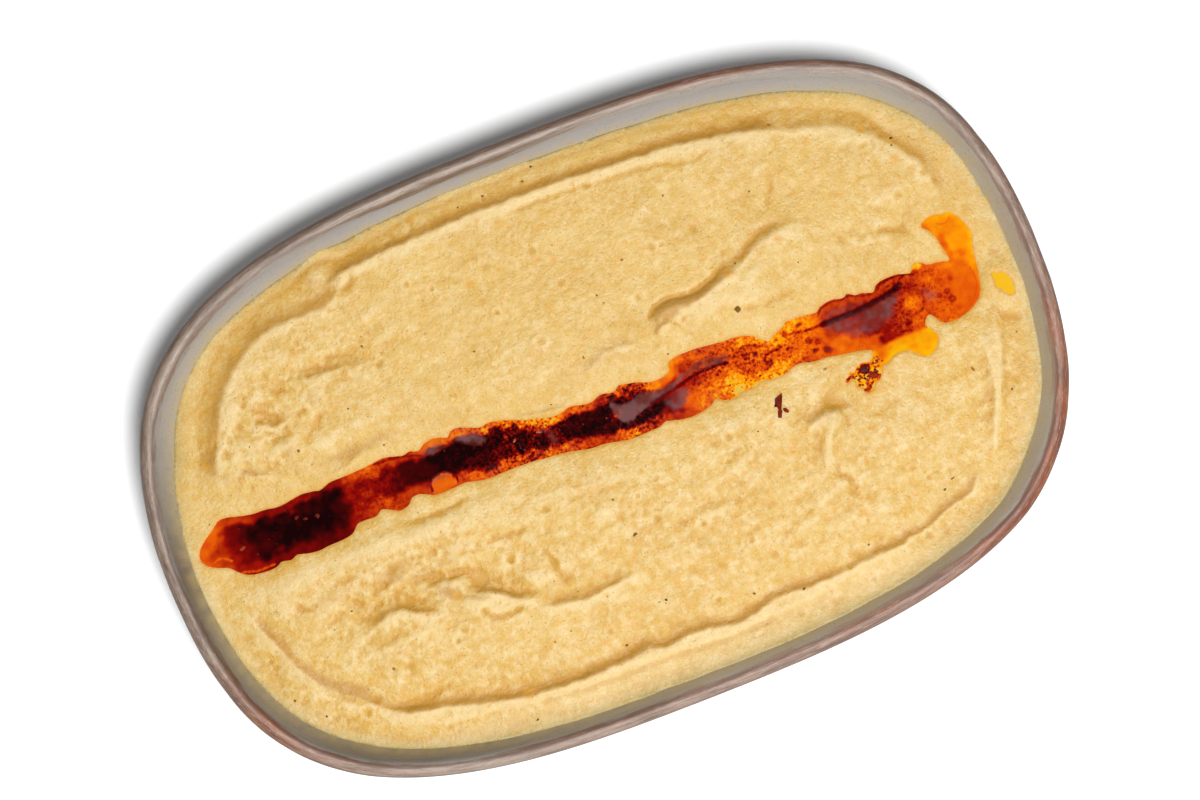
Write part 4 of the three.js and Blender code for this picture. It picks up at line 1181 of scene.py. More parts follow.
def paste_fields(x, y, height, used, away, inside):
    """What the paste's colour goes by. away is the distance from the oil, and inside that from the wall."""
    field = np.full(used.shape, FILL_LEVEL)
    field[used] = height
    wide, tight = ((field - blurred(field, cells))[used] for cells in (6, 2))
    calm = smoothstep(1.2, 5, away) * smoothstep(0.8, 2.4, inside)
    # Painted highlight: the paste is paler where it crowns, less so by the oil on the far side.
    crown_light = np.clip((wide + 1.5 * tight) / 0.4, 0, 1) * calm
    crown_light = crown_light * (1 - 0.75 * smoothstep(10, 5, away) * (y > 0))
    # Painted light along the grooves by the near and the far rim.
    lit_along_grooves = 0.5 * smoothstep(-57, -61, y) + 0.2 * smoothstep(61.5, 64, y)
    return {
        # Painted shade in the hollows.
        "hollow": np.clip(-(0.35 * wide + 1.5 * tight) / 0.34, 0, 1) * calm,
        "crown_light": np.clip(crown_light + lit_along_grooves, 0, 1),
        "stain": 0.75 * np.exp(-np.maximum(away, 0) / 0.45) * smoothstep(-0.5, 0.0, away),
        "warm": warmth(x, y),
        "thin": np.exp(-inside / 1.1) * np.clip(0.75 + 0.8 * clouds(x, y, size=2.2, seed=87), 0, 1),
        "mottled": np.clip(0.6 + 0.4 * smoothstep(12, -12, y) + 0.3 * roughness_of(x, y), 0, 1),
        "shade": shade_at(x, y),
    }


def wall_side(x, y, radius, ring, count):
    """The side and floor below a ring, just clear of the dish: points, numbered from count, and faces."""
    across, up = x / (radius + INTO_WALL + SPREAD), y / (radius + INTO_WALL)
    inward = drawn_in(np.arctan2(up, across))
    points, faces = [], []
    for inset, level in INNER_WALL[1:]:
        lower = HALF_WIDTH - inset - CLEAR_OF_DISH - inward
        heights = np.full(len(ring), level + CLEAR_OF_DISH)
        points.append(np.stack([(lower + SPREAD) * across, lower * up, heights], 1))
        below = count + np.arange(len(ring))
        faces += zip(ring, below, np.roll(below, -1), np.roll(ring, -1))
        count += len(ring)
        ring = below
    return np.vstack(points), [*faces, tuple(ring[::-1])]


def make_hummus():
    x, y, quads, used, loop = hummus_grid()
    at_edge = np.zeros(len(x), bool)
    at_edge[loop] = True
    radius, edge_height = edge_radius(x + OFF_MIDDLE, y + OFF_MIDDLE)
    share = oval_share(x, y, radius)
    inside = np.where(at_edge, 0, (1 - share) * radius)
    # The outermost points go just into the wall, so that no gap is left along it.
    outward = np.where(at_edge, (1 + INTO_WALL / radius) / share, 1)
    x, y = x * outward, y * outward

    height, away = hummus_height(x, y)
    film = np.exp(-inside / SMEAR[1]) * np.maximum(smoothstep(0.2, 1.4, away), at_edge)
    height = np.where(at_edge, edge_height, height + (edge_height - height) * film)

    fields = paste_fields(x, y, height, used, away, inside)
    side, side_faces = wall_side(x[loop], y[loop], radius[loop], np.array(loop), len(x))
    points = np.vstack([np.stack([x, y, height], 1), side])
    faces = [tuple(quad) for quad in quads] + side_faces
    for name, values in fields.items():
        fields[name] = np.concatenate([values, np.zeros(len(side))])
    smooth = np.arange(len(faces)) < len(quads)
    return add_mesh("hummus_spread", points, faces, hummus_material(), smooth, **fields)


# ---- The oil ----

# The oil along the channel: (x, the tone at the far bank, in the middle and at the near bank, the widths of
# the far and the near margin, how much painted reflection lies over each of them, how grainy the oil is).
STATIONS = (
    (-107, 0.34, 0.4, 0.38, 3, 3, 0, 0, 0), (-104, 0.37, 0.54, 0.48, 3, 3, 0, 0, 0),
    (-100, 0.44, 0.63, 0.56, 3.4, 4, 0, 0, 0.1), (-96, 0.54, 0.74, 0.62, 3.2, 4, 0, 0, 0.1),
    (-92, 0.58, 0.92, 0.68, 2.8, 4, 0, 0, 0.15), (-86, 0.7, 0.98, 0.74, 3, 4, 0, 0, 0.15),
    (-80, 0.64, 0.97, 0.75, 3.6, 4, 0, 0, 0.15), (-74, 0.72, 0.96, 0.8, 2.6, 4, 0, 0, 0.15),
    (-69, 0.66, 0.88, 0.74, 3, 4, 0, 0, 0.2), (-66.5, 0.52, 0.64, 0.58, 3.5, 4, 0, 0, 0.4),
    (-62, 0.48, 0.63, 0.54, 4, 4, 0, 0, 0.45), (-58, 0.48, 0.68, 0.5, 4, 4, 0, 0, 0.45),
    (-54, 0.52, 0.8, 0.48, 4, 4.4, 0, 0, 0.4), (-50, 0.54, 0.9, 0.54, 3.5, 4.4, 0, 0.1, 0.2),
    (-44, 0.36, 0.95, 0.52, 2.6, 4, 0.25, 0.2, 0.15), (-38, 0.34, 0.95, 0.48, 2.4, 4, 0.25, 0.1, 0.5),
    (-32, 0.32, 0.92, 0.42, 2.4, 4.4, 0.3, 0.2, 0.6), (-28, 0.32, 0.84, 0.44, 2.4, 4.4, 0.2, 0.1, 0.8),
    (-25, 0.34, 0.76, 0.42, 2.4, 4.4, 0, 0.1, 1), (-20, 0.24, 0.84, 0.34, 3.6, 3.4, 0.1, 0.15, 1),
    (-14, 0.24, 0.7, 0.34, 3.4, 4, 0.1, 0.15, 1), (-11, 0.26, 0.9, 0.42, 2.6, 4.6, 0.1, 0.15, 0.7),
    (-5, 0.34, 0.97, 0.5, 2.6, 4.2, 0.1, 0, 0.5), (0, 0.5, 0.97, 0.5, 2.8, 3.4, 0.1, 0.1, 0.5),
    (4, 0.36, 0.86, 0.34, 3, 3, 0.1, 0.1, 0.8), (10, 0.34, 0.86, 0.5, 3, 3, 0.1, 0.1, 1),
    (16, 0.32, 0.74, 0.6, 3, 2.6, 0, 0.1, 0.3), (20, 0.28, 0.58, 0.46, 3, 3, 0, 0.15, 0.3),
    (24, 0.36, 0.52, 0.4, 3, 3, 0.1, 0.15, 0.5), (28, 0.44, 0.48, 0.34, 3, 3, 0.2, 0.2, 0.6),
    (34, 0.34, 0.42, 0.14, 3, 3, 0.1, 0, 0.66), (40, 0.22, 0.38, 0.1, 3, 3, 0, 0, 0.72),
    (46, 0.2, 0.36, 0.14, 3, 3, 0, 0, 0.7), (50, 0.18, 0.33, 0.4, 4.4, 2.4, 0, 0.1, 0.6),
    (56, 0.16, 0.38, 0.44, 4.6, 2.4, 0, 0.15, 0.5), (60, 0.46, 0.5, 0.38, 3, 3, 0.1, 0, 0.35),
    (66, 0.44, 0.62, 0.33, 3, 4.4, 0.1, 0, 0.3), (72, 0.48, 0.68, 0.35, 3, 4.8, 0.1, 0, 0.35),
    (78, 0.58, 0.56, 0.38, 3, 4.8, 0, 0, 0.55), (84, 0.52, 0.46, 0.4, 3, 3, 0, 0, 0.5),
    (90, 0.38, 0.4, 0.38, 3, 3, 0, 0, 0.48), (94, 0.32, 0.37, 0.38, 3, 3, 0, 0, 0.3),
    (98, 0.24, 0.34, 0.34, 3, 3, 0, 0, 0), (101, 0.14, 0.2, 0.22, 3, 3, 0, 0, 0),
)

# Patches of one tone: (x, y, half length, half width, turn in degrees, tone, softness of the edge).
TONE_PATCHES = (
    # clear lenses where the hummus almost comes through
    (-43.4, -0.3, 3.4, 2.4, 0, 0.33, 0.12), (-34.4, -1.7, 3.6, 1.2, -12, 0.36, 0.2),
    (-41, 9.8, 3.4, 1.1, 2, 0.3, 0.3), (-35.5, 9.9, 2.6, 1.1, -14, 0.27, 0.3),
    (-29, 8.4, 1.7, 1.2, 30, 0.24, 0.3), (5, -5.9, 2.2, 0.9, -5, 0.28, 0.3),
    (3.7, -0.1, 1.3, 1, 0, 0.34, 0.3), (15, 3.4, 2.8, 1, 0, 0.29, 0.4), (26, -3.6, 5.4, 2.6, 5, 0.3, 0.6),
    (33, -3, 3, 2.8, 20, 0.17, 0.6), (38, -4.6, 2.6, 1.2, 0, 0.15, 0.6), (34.6, -5.6, 2.4, 1, 0, 0.06, 0.5),
    (45, -4, 3, 1.6, 5, 0.14, 0.6), (53, -1.4, 4, 2.4, 10, 0.29, 0.6), (62, -3.6, 4.4, 1.6, -12, 0.33, 0.7),
    (82, -1.6, 2.4, 2, 20, 0.34, 0.5), (86.4, 7, 1.4, 0.9, -10, 0.12, 0.4),
    (96, -2, 2.4, 3.4, 10, 0.35, 0.9), (97, 12, 2.6, 3.4, 0, 0.25, 0.9),
    (-60.6, 9.8, 1.6, 0.7, 0, 0.32, 0.4), (-104, 6.4, 3, 1.5, 48, 0.36, 0.5),
    (-59, 0.6, 1.4, 1.2, 0, 0.48, 0.5), (89, -5.6, 2.4, 1.4, 0, 0.33, 0.8),
    (88.6, 3.8, 2.4, 1.4, 0, 0.38, 0.8),
    # thick sediment
    (-93.2, 4.8, 1.3, 1.9, 0, 0.98, 0.5), (-71, 6.6, 2.6, 1.7, 8, 1.0, 0.5), (-80, 2, 6, 1.8, 0, 1.0, 0.8),
    (-50.4, 6.8, 2, 1.4, 0, 0.9, 0.6), (-36, 5.6, 8, 2.2, -4, 1.0, 0.6), (-49, 3.8, 3, 1.6, 0, 0.88, 0.7),
    (-31, -0.6, 2, 1.2, 20, 0.8, 0.6), (-22.2, 1.2, 0.9, 1.9, -10, 0.96, 0.4),
    (-22, 6.2, 1.2, 0.9, 30, 0.8, 0.4), (-16.8, 0.2, 1.6, 2, 0, 0.84, 0.6),
    (-26.4, 7.2, 1.4, 1, -30, 0.84, 0.5), (3.6, 3.8, 1.2, 1, 10, 0.84, 0.4),
    (11.6, -2.6, 4.6, 1.2, 10, 0.97, 0.4), (41, 1.2, 0.7, 0.7, 0, 0.7, 0.5),
    (43.4, -2, 1.1, 0.8, -30, 0.58, 0.7), (58.2, -4.4, 1.2, 0.9, -30, 0.66, 0.5),
    (80.9, 4.2, 0.9, 0.8, 0, 0.84, 0.5), (79, -3.6, 2, 1.6, 20, 0.5, 0.8), (91, -3, 1.6, 1.6, 40, 0.47, 0.9),
    (77.6, 5.4, 2.4, 0.9, 8, 0.5, 0.6), (94.8, 10, 0.9, 2.2, 12, 0.4, 0.9),
    (93.2, 1.2, 0.8, 0.7, 0, 0.52, 0.6), (65, -12.2, 1.5, 1.3, 0, 0.95, 0.3),
    (66.6, -14.6, 1.2, 0.7, -40, 0.62, 0.6), (64, -17.2, 0.9, 0.5, 0, 0.52, 0.6),
    (61, -12.8, 1, 0.4, 20, 0.5, 0.6), (55.2, -3.4, 0.8, 0.6, 0, 0.62, 0.5),
    (53.6, 4.1, 0.9, 0.5, 0, 0.42, 0.5), (82.6, 3.4, 1.6, 1, 0, 0.58, 0.8), (30.6, 6, 3, 1.2, 0, 0.5, 0.9),
)

# Round grains of chilli in the oil: (x, y, radius).
GRAINS = (
    (6.4, 4.9, 0.8), (7.6, 3.5, 0.7), (8.9, 4.7, 0.8), (9.9, 3.2, 0.6), (11.1, 4.3, 0.7), (12.9, 4.7, 0.4),
    (-20, -2.2, 0.9), (4.2, 0.1, 1.0), (25, 0.3, 0.9), (49.6, 3.2, 0.6), (54.7, -0.4, 0.8),
    (49.2, -0.9, 0.7), (56.6, -1.4, 0.6), (91.4, -1.4, 0.6), (89.2, -1.9, 0.5), (92, -3.8, 0.7),
    (-18.4, 4.6, 0.5), (-25, 4.6, 0.6), (-13.4, -2.6, 0.5), (36.4, -0.2, 0.7), (38.6, 1.6, 0.8),
    (43, -2.6, 0.6), (66.6, 1.0, 0.5), (74.6, 0.2, 0.5),
)

# Lines in the oil: (line, half width, tone). Most are dark sediment; the marked ones are painted shade and
# painted highlights along its edges.
TONE_LINES = (
    (((5, -3.4), (8, -2.6), (12, -1.2), (14, -0.6)), 0.5, 0.88),
    (((13, -0.9), (16, 0), (20, 0.8), (22, 1.3), (25, 2), (28, 2.2), (31, 2.2), (33.4, 1.9)), 0.4, 0.78),
    (((49.4, 2.9), (52, 2.7), (55, 2.2)), 0.24, 0.5), (((54.6, 2.2), (57, 2), (60, 2.1)), 0.3, 0.62),
    (((59.4, 2.1), (62, 2), (66, 2), (70, 2.2), (74, 2.6), (76.4, 2.9), (80, 3.9)), 0.74, 0.86),
    (((35.4, 2.6), (37, 3.6), (39, 4.2), (41, 3.6), (43, 2.2)), 0.26, 0.52),
    (((35.2, 1.6), (36.6, 0.2), (38.6, -0.4), (40.4, 0.2)), 0.2, 0.46),
    (((36.4, -2.4), (38.6, -2), (40.4, -1), (40.8, 0.4)), 0.2, 0.44),
    (((42.6, -0.8), (43.6, 0.1), (45.4, 0.4), (47.8, 0.6)), 0.3, 0.6),
    # the next four: painted shade along the oil's far edge
    (((59, 4.4), (60.4, 5.9), (63.4, 6.5), (66, 6), (67.6, 6.5), (70, 5.5), (73.6, 4.6)), 0.22, 0.62),
    (((75, 5), (76.6, 6.3), (79.6, 6.7), (83, 6.3), (85, 5.4)), 0.26, 0.66),
    (((-58, 10.4), (-52, 9.9), (-47.4, 8.6), (-44.8, 7.7), (-40, 7.9), (-37.4, 8.6)), 0.22, 0.66),
    (((-37.6, 8.4), (-35.8, 7.6), (-33.6, 6), (-31, 5.2), (-29, 6), (-28, 8)), 0.22, 0.8),
    # a dark ring of sediment
    (((-46.8, -1.4), (-46.7, 0.2), (-45.6, 1.6), (-43.4, 2.2), (-41, 1.6), (-39.9, 0.2), (-40.2, -1.6)),
     0.18, 0.74),
    # painted shade round the channel's end
    (((98.9, 2), (99.3, -0.6), (98.8, -3), (97, -5.6), (94, -7.8), (90, -8.3), (87.4, -7)), 0.16, 0.42),
    # the next two: painted highlights along the left tip's edges
    (((-104.6, 1.8), (-103, 2.4), (-101.4, 2), (-100, 0.9)), 0.2, 0.34),
    (((-98.4, -2.8), (-95, -3.8), (-92.6, -3.9), (-90.4, -3.8)), 0.22, 0.42),
    # dark sediment
    (((81.4, 2.6), (83.6, 1.9), (85, 0.4), (85.2, -1.6), (83.8, -3.6), (81.6, -4)), 0.4, 0.54),
    (((95, 15.2), (96, 14.6), (97.6, 14.7), (98.6, 15.6)), 0.16, 0.3),
)

# Where a painted reflection lies over the surface, cloudy lilac-grey: (outline, amount, softness of the
# edge).
REFLECTION_PATCHES = (
    (((2.4, 2.6), (3.4, 2.9), (5.4, 1.5), (8, 1.9), (10.4, 2.8), (14, 1.9), (17, 1.8), (20, 2.4), (22, 3.2),
      (20, 1.5), (16, 0.4), (12, -0.7), (8, -2.2), (5, -3.1), (3.6, -1.7), (2.6, 0.6)), 1.0, 0.4),
    (((22, 2.8), (24, 4.2), (27, 4.9), (30, 4.8), (33, 4), (34.2, 3), (32, 2.6), (27, 2.8)), 0.9, 0.6),
    (((15.4, -1.2), (17.6, -0.6), (20.4, -0.1), (22.2, -1), (21, -3), (19.4, -4.2), (17, -4.2), (16, -2.6)),
     0.8, 0.7),
    (((58.8, 3.1), (61, 3), (66, 2.9), (70.6, 3.2), (70.4, 4), (66.6, 4.7), (62, 4.9), (59.6, 4.4)),
     0.5, 0.9),
    (((60, 1.2), (64, 1.4), (69, 1.4), (73, 1.7), (75, 0.6), (76.6, -2), (73, -3.4), (69, -3.6), (65, -2.9),
      (62, -1)), 0.8, 1.2),
    (((69, 0.8), (73, 1.7), (75.4, 2.1), (79, 2.6), (79.4, 1.4), (77.6, 0.2), (76.4, -2), (72.6, -2.6),
      (69.4, -1.8)), 0.8, 0.8),
    (((85, 1.2), (87.4, 0.2), (89.4, -0.6), (88, -2), (86, -1.9)), 0.5, 0.9),
    (((-46, 8.4), (-44, 9.4), (-40.4, 9.2), (-39.6, 8.2), (-43, 7.6)), 0.8, 0.6),
    (((-37, 9.2), (-34.4, 9.2), (-31.6, 8.2), (-29.6, 6.6), (-31, 5.6), (-33.4, 6.2), (-35.4, 7.6)),
     0.9, 0.5),
    (((-46, 0.9), (-44.6, 1.9), (-42.4, 1.9), (-41, 1), (-43.4, 0.7)), 0.6, 0.6),
    (((-16.6, 3.8), (-14.6, 3.4), (-13.2, 1.6), (-13, -0.6), (-13.8, -1.4), (-14.8, 0.4), (-15.2, 2.2),
      (-16.6, 2.9)), 0.6, 0.7),
    (((57.4, -4), (59, -3.9), (59.2, -4.9), (57.8, -4.8)), 0.5, 0.4),
)

# What the channel's edges run on through: under the hook, at the left tip, and past the spill.
FAR_END = ((101, 4),)
NEAR_START = ((-107.2, 4),)
NEAR_END = ((85, -6), (92, -8.9), (101, -1))

# A round grain's edge and middle: (tone, how far outside its radius that starts, and where it is full).
GRAIN_TONES = ((0.66, 0.5, -0.1), (0.44, -0.1, -0.6))
CLUMP_TONE = 0.15  # of the oil in the clump of chilli
THIN_TONE = 0.125  # of the hook and the spill at their edges
DROP_START = 102.6  # beyond this x the oil is the drop's
DROP_TONE = 0.068
UNDER_HUMMUS = 0.6  # how far the oil is cut beyond its outline
OIL_MARGIN = 1.2  # how far its grid goes beyond that outline
LEAST_OIL = 0.4  # its least thickness


def along_channel(x):
    """What STATIONS gives at x, column by column."""
    stations, *columns = np.array(STATIONS).T
    return [np.interp(x, SEEN * stations, column) for column in columns]


def bank_lines(x):
    """The channel's far and near edges at x."""
    banks = CHANNEL_FAR_BANK + FAR_END, NEAR_START + CHANNEL_NEAR_BANK[::-1] + NEAR_END
    return [np.interp(x, *(SEEN * np.array(bank)).T) for bank in banks]


def from_banks(x, y, inside):
    """The channel's tone, painted sheen and grain, and how far its margins have given way to its middle."""
    far_tone, middle_tone, near_tone, far_width, near_width, far_painted_sheen, near_painted_sheen, grain = along_channel(x)
    far = smoothstep(-1.5, 1.5, y - sum(bank_lines(x)) / 2)
    edge = near_tone + (far_tone - near_tone) * far
    width = near_width + (far_width - near_width) * far
    painted_sheen = near_painted_sheen + (far_painted_sheen - near_painted_sheen) * far
    deep = smoothstep(0.35, 1, inside * (1 + 0.7 * clouds(x, y, size=3.2, seed=91)) / width)
    return edge + (middle_tone - edge) * deep, painted_sheen * (1 - deep), grain


def thin_parts(x, y, inside):
    """How far a point is in the hook or the spill, its tone there, and how far it is in the clump."""
    hook = smoothstep(4.4, 9, y + 0.8 * clouds(x, y, size=2, seed=93)) * smoothstep(91, 95, x)
    spill = smoothstep(-7.4, -8.8, y + 0.8 * smoothstep(76, 70, x)) * (x < 86) * (x > 60)
    left_end = smoothstep(75, 70, x) * smoothstep(0.2, 1.6, inside)
    tone = THIN_TONE + 0.065 * smoothstep(0.4, 2.6, inside) + 0.1 * left_end
    clump = smoothstep(-9.6, -11, y) * smoothstep(70, 68.5, x)
    return np.maximum(hook, spill), tone * (1 - clump) + CLUMP_TONE * clump, clump


def with_marks(tone, x, y):
    """The tone with the round grains and the dark lines drawn over it."""
    uneven = 0.3 * clouds(x, y, size=1.2, seed=97)
    for cx, cy, radius in GRAINS:
        reach = from_spot(x, y, cx, cy) + uneven
        for value, start, full in GRAIN_TONES:
            tone = tone + (value - tone) * 0.7 * smoothstep(radius + start, radius + full, reach)
    uneven = 0.25 * clouds(x, y, size=1.2, seed=107)
    for line, half_width, value in TONE_LINES:
        distance = nearest_on(SEEN * curve_through(line), x, y)[0] + uneven
        tone = tone + (value - tone) * smoothstep(half_width * 1.5, half_width * 0.6, distance)
    return tone


def sediment(x, y, away):
    """The oil's tone, painted sheen and grain. The tone goes from 0 where it is clear to 1 where sediment is
    thick.
    """
    inside = np.maximum(-away, 0)
    tone, painted_sheen, grain = from_banks(x, y, inside)
    thin, thin_tone, clump = thin_parts(x, y, inside)
    tone = tone * (1 - thin) + thin * thin_tone
    uneven = 0.35 * clouds(x, y, size=1.6, seed=95)
    for patch in TONE_PATCHES:
        value, softness = patch[5:]
        share = smoothstep(1 + softness, 1 - softness, from_patch(x, y, patch) + uneven)
        tone = tone + (value - tone) * share
    grain = np.maximum(grain * (1 - thin), clump)
    fine, wide = clouds(x, y, size=1.8, seed=101), clouds(x, y, size=4, seed=105)
    tone = tone + (0.05 + 0.15 * grain) * fine + 0.1 * wide
    tone = np.where(x > DROP_START, DROP_TONE + 0.04 * clouds(x, y, size=1.5, seed=99), tone)
    return np.clip(with_marks(tone, x, y), 0, 1), painted_sheen * (1 - thin), grain


def painted_reflection(x, y):
    """How much painted reflection lies over the oil's surface."""
    film = np.zeros(x.shape)
    for outline, amount, softness in REFLECTION_PATCHES:
        outline = SEEN * curve_through(outline, closed=True, steps=3)
        mask = near(x, y, outline, 1.5)
        edge = outside_of(outline, x[mask], y[mask]) + 0.7 * clouds(x[mask], y[mask], size=1.6, seed=111)
        film[mask] = np.maximum(film[mask], amount * smoothstep(1.5 * softness, -1.5 * softness, edge))
    wide, fine = clouds(x, y, size=4, seed=113, stretch=2), clouds(x, y, size=1.1, seed=115)
    return np.clip(film * (0.88 + 0.5 * wide + 0.14 * fine), 0, 1)


def make_oil(name, outline, material):
    """A slab of oil cut a little wider than its outline, so that its edge lies under the hummus."""
    (low_x, low_y), (high_x, high_y) = outline.min(0) - OIL_MARGIN, outline.max(0) + OIL_MARGIN
    x, y, middle_x, middle_y = grid_over(low_x, high_x, low_y, high_y, OIL_CELL)
    quads, used = cells_of(outside_of(outline, middle_x, middle_y) < UNDER_HUMMUS)
    x, y = x[used], y[used]
    away = outside_of(outline, x, y)
    ripple = 0.012 * clouds(x, y, size=4.5, seed=121) * smoothstep(0, 1.5, -away)
    meniscus = 0.02 * np.exp(np.minimum(away, 0) / 0.5)
    top = oil_level(x, y) + meniscus + ripple
    bottom = np.minimum(hummus_height(x, y)[0] - 0.05, top - LEAST_OIL)

    count = len(x)
    points = np.vstack([np.stack([x, y, top], 1), np.stack([x, y, bottom], 1)])
    faces = [tuple(quad) for quad in quads] + [tuple(quad[::-1] + count) for quad in quads]
    for loop in rim_of(quads):
        faces += [(a, a + count, b + count, b) for a, b in zip(loop, loop[1:] + loop[:1])]
    tone, painted_sheen, grain = sediment(x, y, away)
    # film is the painted reflection over the oil.
    film = np.maximum(painted_reflection(x, y), painted_sheen)
    tone, film, grain = (np.tile(field, 2) for field in (tone, film, grain))
    return add_mesh(name, points, faces, material, tone=tone, film=film, granules=grain)


# ---- Flakes and specks ----

# Flakes laid one by one in the oil: (x, y, half length, half width, turn in degrees, tone).
PLACED_FLAKES = (
    (65, -12.1, 1.2, 1.1, 0, 0.1), (66.5, -14.6, 0.9, 0.5, -40, 0.6), (64.1, -17.2, 0.8, 0.4, 5, 0.6),
    (61, -12.6, 0.5, 0.3, 30, 0.6), (68.5, -11.4, 0.35, 0.6, 20, 0.5), (62.8, -14.2, 0.4, 0.3, 0, 0.5),
    (62.4, -15.4, 0.4, 0.25, 10, 0.5), (67.3, -13.2, 0.5, 0.3, 60, 0.4), (65.6, -16, 0.5, 0.3, 30, 0.5),
    (66, -13.6, 0.4, 0.3, 10, 0.3), (41, 1.3, 0.6, 0.5, 30, 0.2), (58.2, -4.3, 0.8, 0.5, -30, 0.4),
    (55.1, -3.5, 0.5, 0.35, 10, 0.45), (53.7, 4.2, 0.6, 0.3, 5, 0.6), (80.9, 4.2, 0.6, 0.5, 30, 0.1),
    (25.4, -0.3, 0.5, 0.4, -30, 0.5), (36.4, -4, 0.35, 0.25, 30, 0.6), (43.6, -2.2, 0.5, 0.35, 30, 0.6),
    (3.5, 3.8, 0.6, 0.5, 20, 0.1), (-22.3, 1.2, 0.4, 1.0, 0, 0.0), (-21.9, 6.2, 0.5, 0.4, 30, 0.3),
    (-24, 7.8, 0.6, 0.25, 0, 0.4), (-16.6, 2.8, 0.9, 0.3, -12, 1.0), (-23.2, 3, 0.7, 0.3, 40, 1.0),
    (67.6, 6.2, 0.5, 0.3, 10, 0.4), (-81, 5, 0.8, 0.5, 30, 0.35), (-79, 4, 0.7, 0.5, -20, 0.35),
    (-76, 3.5, 0.7, 0.6, 50, 0.4), (-96.4, 2.8, 1.1, 0.5, 20, 0.7),
)

# Specks of chickpea skin on the hummus, as the flakes are.
PLACED_SPECKS = (
    (92.1, 39.2, 0.45, 0.4, 0, 0.0), (91.5, 37.5, 0.35, 0.3, 0, 0.3), (54.3, 39.7, 0.5, 0.3, 10, 0.2),
    (9.3, 29.4, 0.3, 0.26, 0, 0.1), (10.3, 27, 0.3, 0.22, 0, 0.5), (-2.3, -47.8, 0.42, 0.4, 0, 0.0),
    (-43, -64, 0.6, 0.4, 20, 0.2), (-3.6, -29.8, 0.8, 0.5, 30, 0.3), (-15.6, -54.8, 0.5, 0.35, -20, 0.2),
    (18.8, -54.4, 0.5, 0.35, 0, 0.4), (30.8, -57.8, 0.5, 0.35, 0, 0.2), (-5.5, -19.6, 0.4, 0.3, 0, 0.3),
    (90.2, -22.1, 0.4, 0.9, 12, 0.6), (75.6, -45.6, 0.75, 0.25, 18, 0.2), (72.7, -47.6, 0.5, 0.35, 20, 0.3),
    (97.5, -30.3, 0.45, 0.4, 0, 0.3), (-98, -37.5, 0.45, 0.35, 0, 0.3), (-92, -44, 0.4, 0.35, 0, 0.1),
    (-72, -39, 0.5, 0.5, 0, 0.7), (-74.3, 20.4, 0.5, 0.6, 0, 0.6), (5.7, 65.5, 0.4, 0.35, 0, 0.2),
    (-8.2, 63, 0.5, 0.35, 0, 0.4), (2.4, 62.7, 0.5, 0.3, -30, 0.4), (-50, 39, 0.4, 0.3, 0, 0.5),
    (0.6, 16.2, 0.3, 0.7, 0, 0.7), (-24.3, 27.5, 0.5, 0.35, 0, 0.6), (18.4, 35.4, 0.5, 0.35, 0, 0.8),
    (-32, -47.5, 0.45, 0.4, 0, 0.9), (34.5, -17, 0.35, 0.25, 0, 0.3), (55.8, -8.6, 0.6, 0.4, 20, 0.8),
    (103.8, -17.4, 0.5, 0.4, 0, 0.8), (20.6, 9.3, 0.35, 0.3, 0, 0.3), (44.4, 24.2, 0.3, 0.28, 0, 0.1),
    (33.8, 46.6, 0.35, 0.3, 0, 0.5), (-76.6, -21.8, 0.35, 0.3, 0, 0.4), (-53.9, 14, 0.35, 0.35, 0, 0.6),
    (-15, 62.6, 0.35, 0.3, 0, 0.3), (65, 53.4, 0.7, 0.3, -20, 0.5), (49.9, -53.4, 0.4, 0.3, 0, 0.3),
    (-11.3, 8.2, 0.25, 0.25, 0, 0.4), (59.2, 18.7, 0.3, 0.25, 0, 0.4), (-58.9, 25.7, 0.45, 0.3, 0, 0.6),
)

# The long flake and what lies by it, and the brown scrap of skin, as the flakes are.
LOOSE_FLAKES = (
    (42.1, -12.1, 2.6, 1.15, 69, 0.42), (41.2, -14.8, 1.5, 0.75, 72, 0.48),
    (42.9, -14.6, 1.1, 0.6, -48, 0.55), (40.9, -12.6, 0.5, 0.4, 60, 0.4),
)
SCRAP = ((40.9, 13.3, 1.25, 0.85, 25, 0.45),)

CLUMP = ((65.2, -13.6), (2.6, 2.2))  # where the clump's small flakes lie, and how far they spread
CLUMP_FLAKES = 80
OIL_DRAWS = 1300  # places tried for the bits in the channel
OIL_SIZES = ((0.16, 0.22, 0.3, 0.42), (0.45, 0.33, 0.17, 0.05))  # half lengths, and each one's share
SPECK_DRAWS = 700
SPECK_SIZES = ((0.12, 0.17, 0.24), (0.55, 0.33, 0.12))


def chip(rng, length, width, thickness, turn, corners):
    """A flat, uneven chip: points and faces, with its middle at the origin."""
    angle = np.sort(
        rng.uniform(0, 2 * math.pi, corners) * 0.3 + np.arange(corners) / corners * 2 * math.pi * 0.97
    )
    reach = rng.uniform(0.7, 1.05, corners)
    u, v = turned(length * reach * np.cos(angle), width * reach * np.sin(angle), -turn)
    edge = np.stack([u, v, rng.uniform(-0.2, 0.2, corners) * thickness], 1)
    points = np.vstack([edge, [[0, 0, thickness], [0, 0, -thickness]]])
    faces = [(k, (k + 1) % corners, corners) for k in range(corners)]
    faces += [((k + 1) % corners, k, corners + 1) for k in range(corners)]
    return points, faces


def scatter(name, chips, material):
    """One mesh from chips, each (points, faces, x, y, z, tone)."""
    points, faces, tones = [], [], []
    count = 0
    for chip_points, chip_faces, x, y, z, tone in chips:
        points.append(chip_points + (x, y, z))
        faces += [tuple(corner + count for corner in face) for face in chip_faces]
        tones.append(np.full(len(chip_points), tone))
        count += len(chip_points)
    return add_mesh(name, np.vstack(points), faces, material, smooth=False, tone=np.concatenate(tones))


def hummus_at(x, y):
    return float(hummus_height(np.array([x]), np.array([y]))[0][0])


def oil_at(x, y):
    return float(oil_level(np.array(x), np.array(y)))


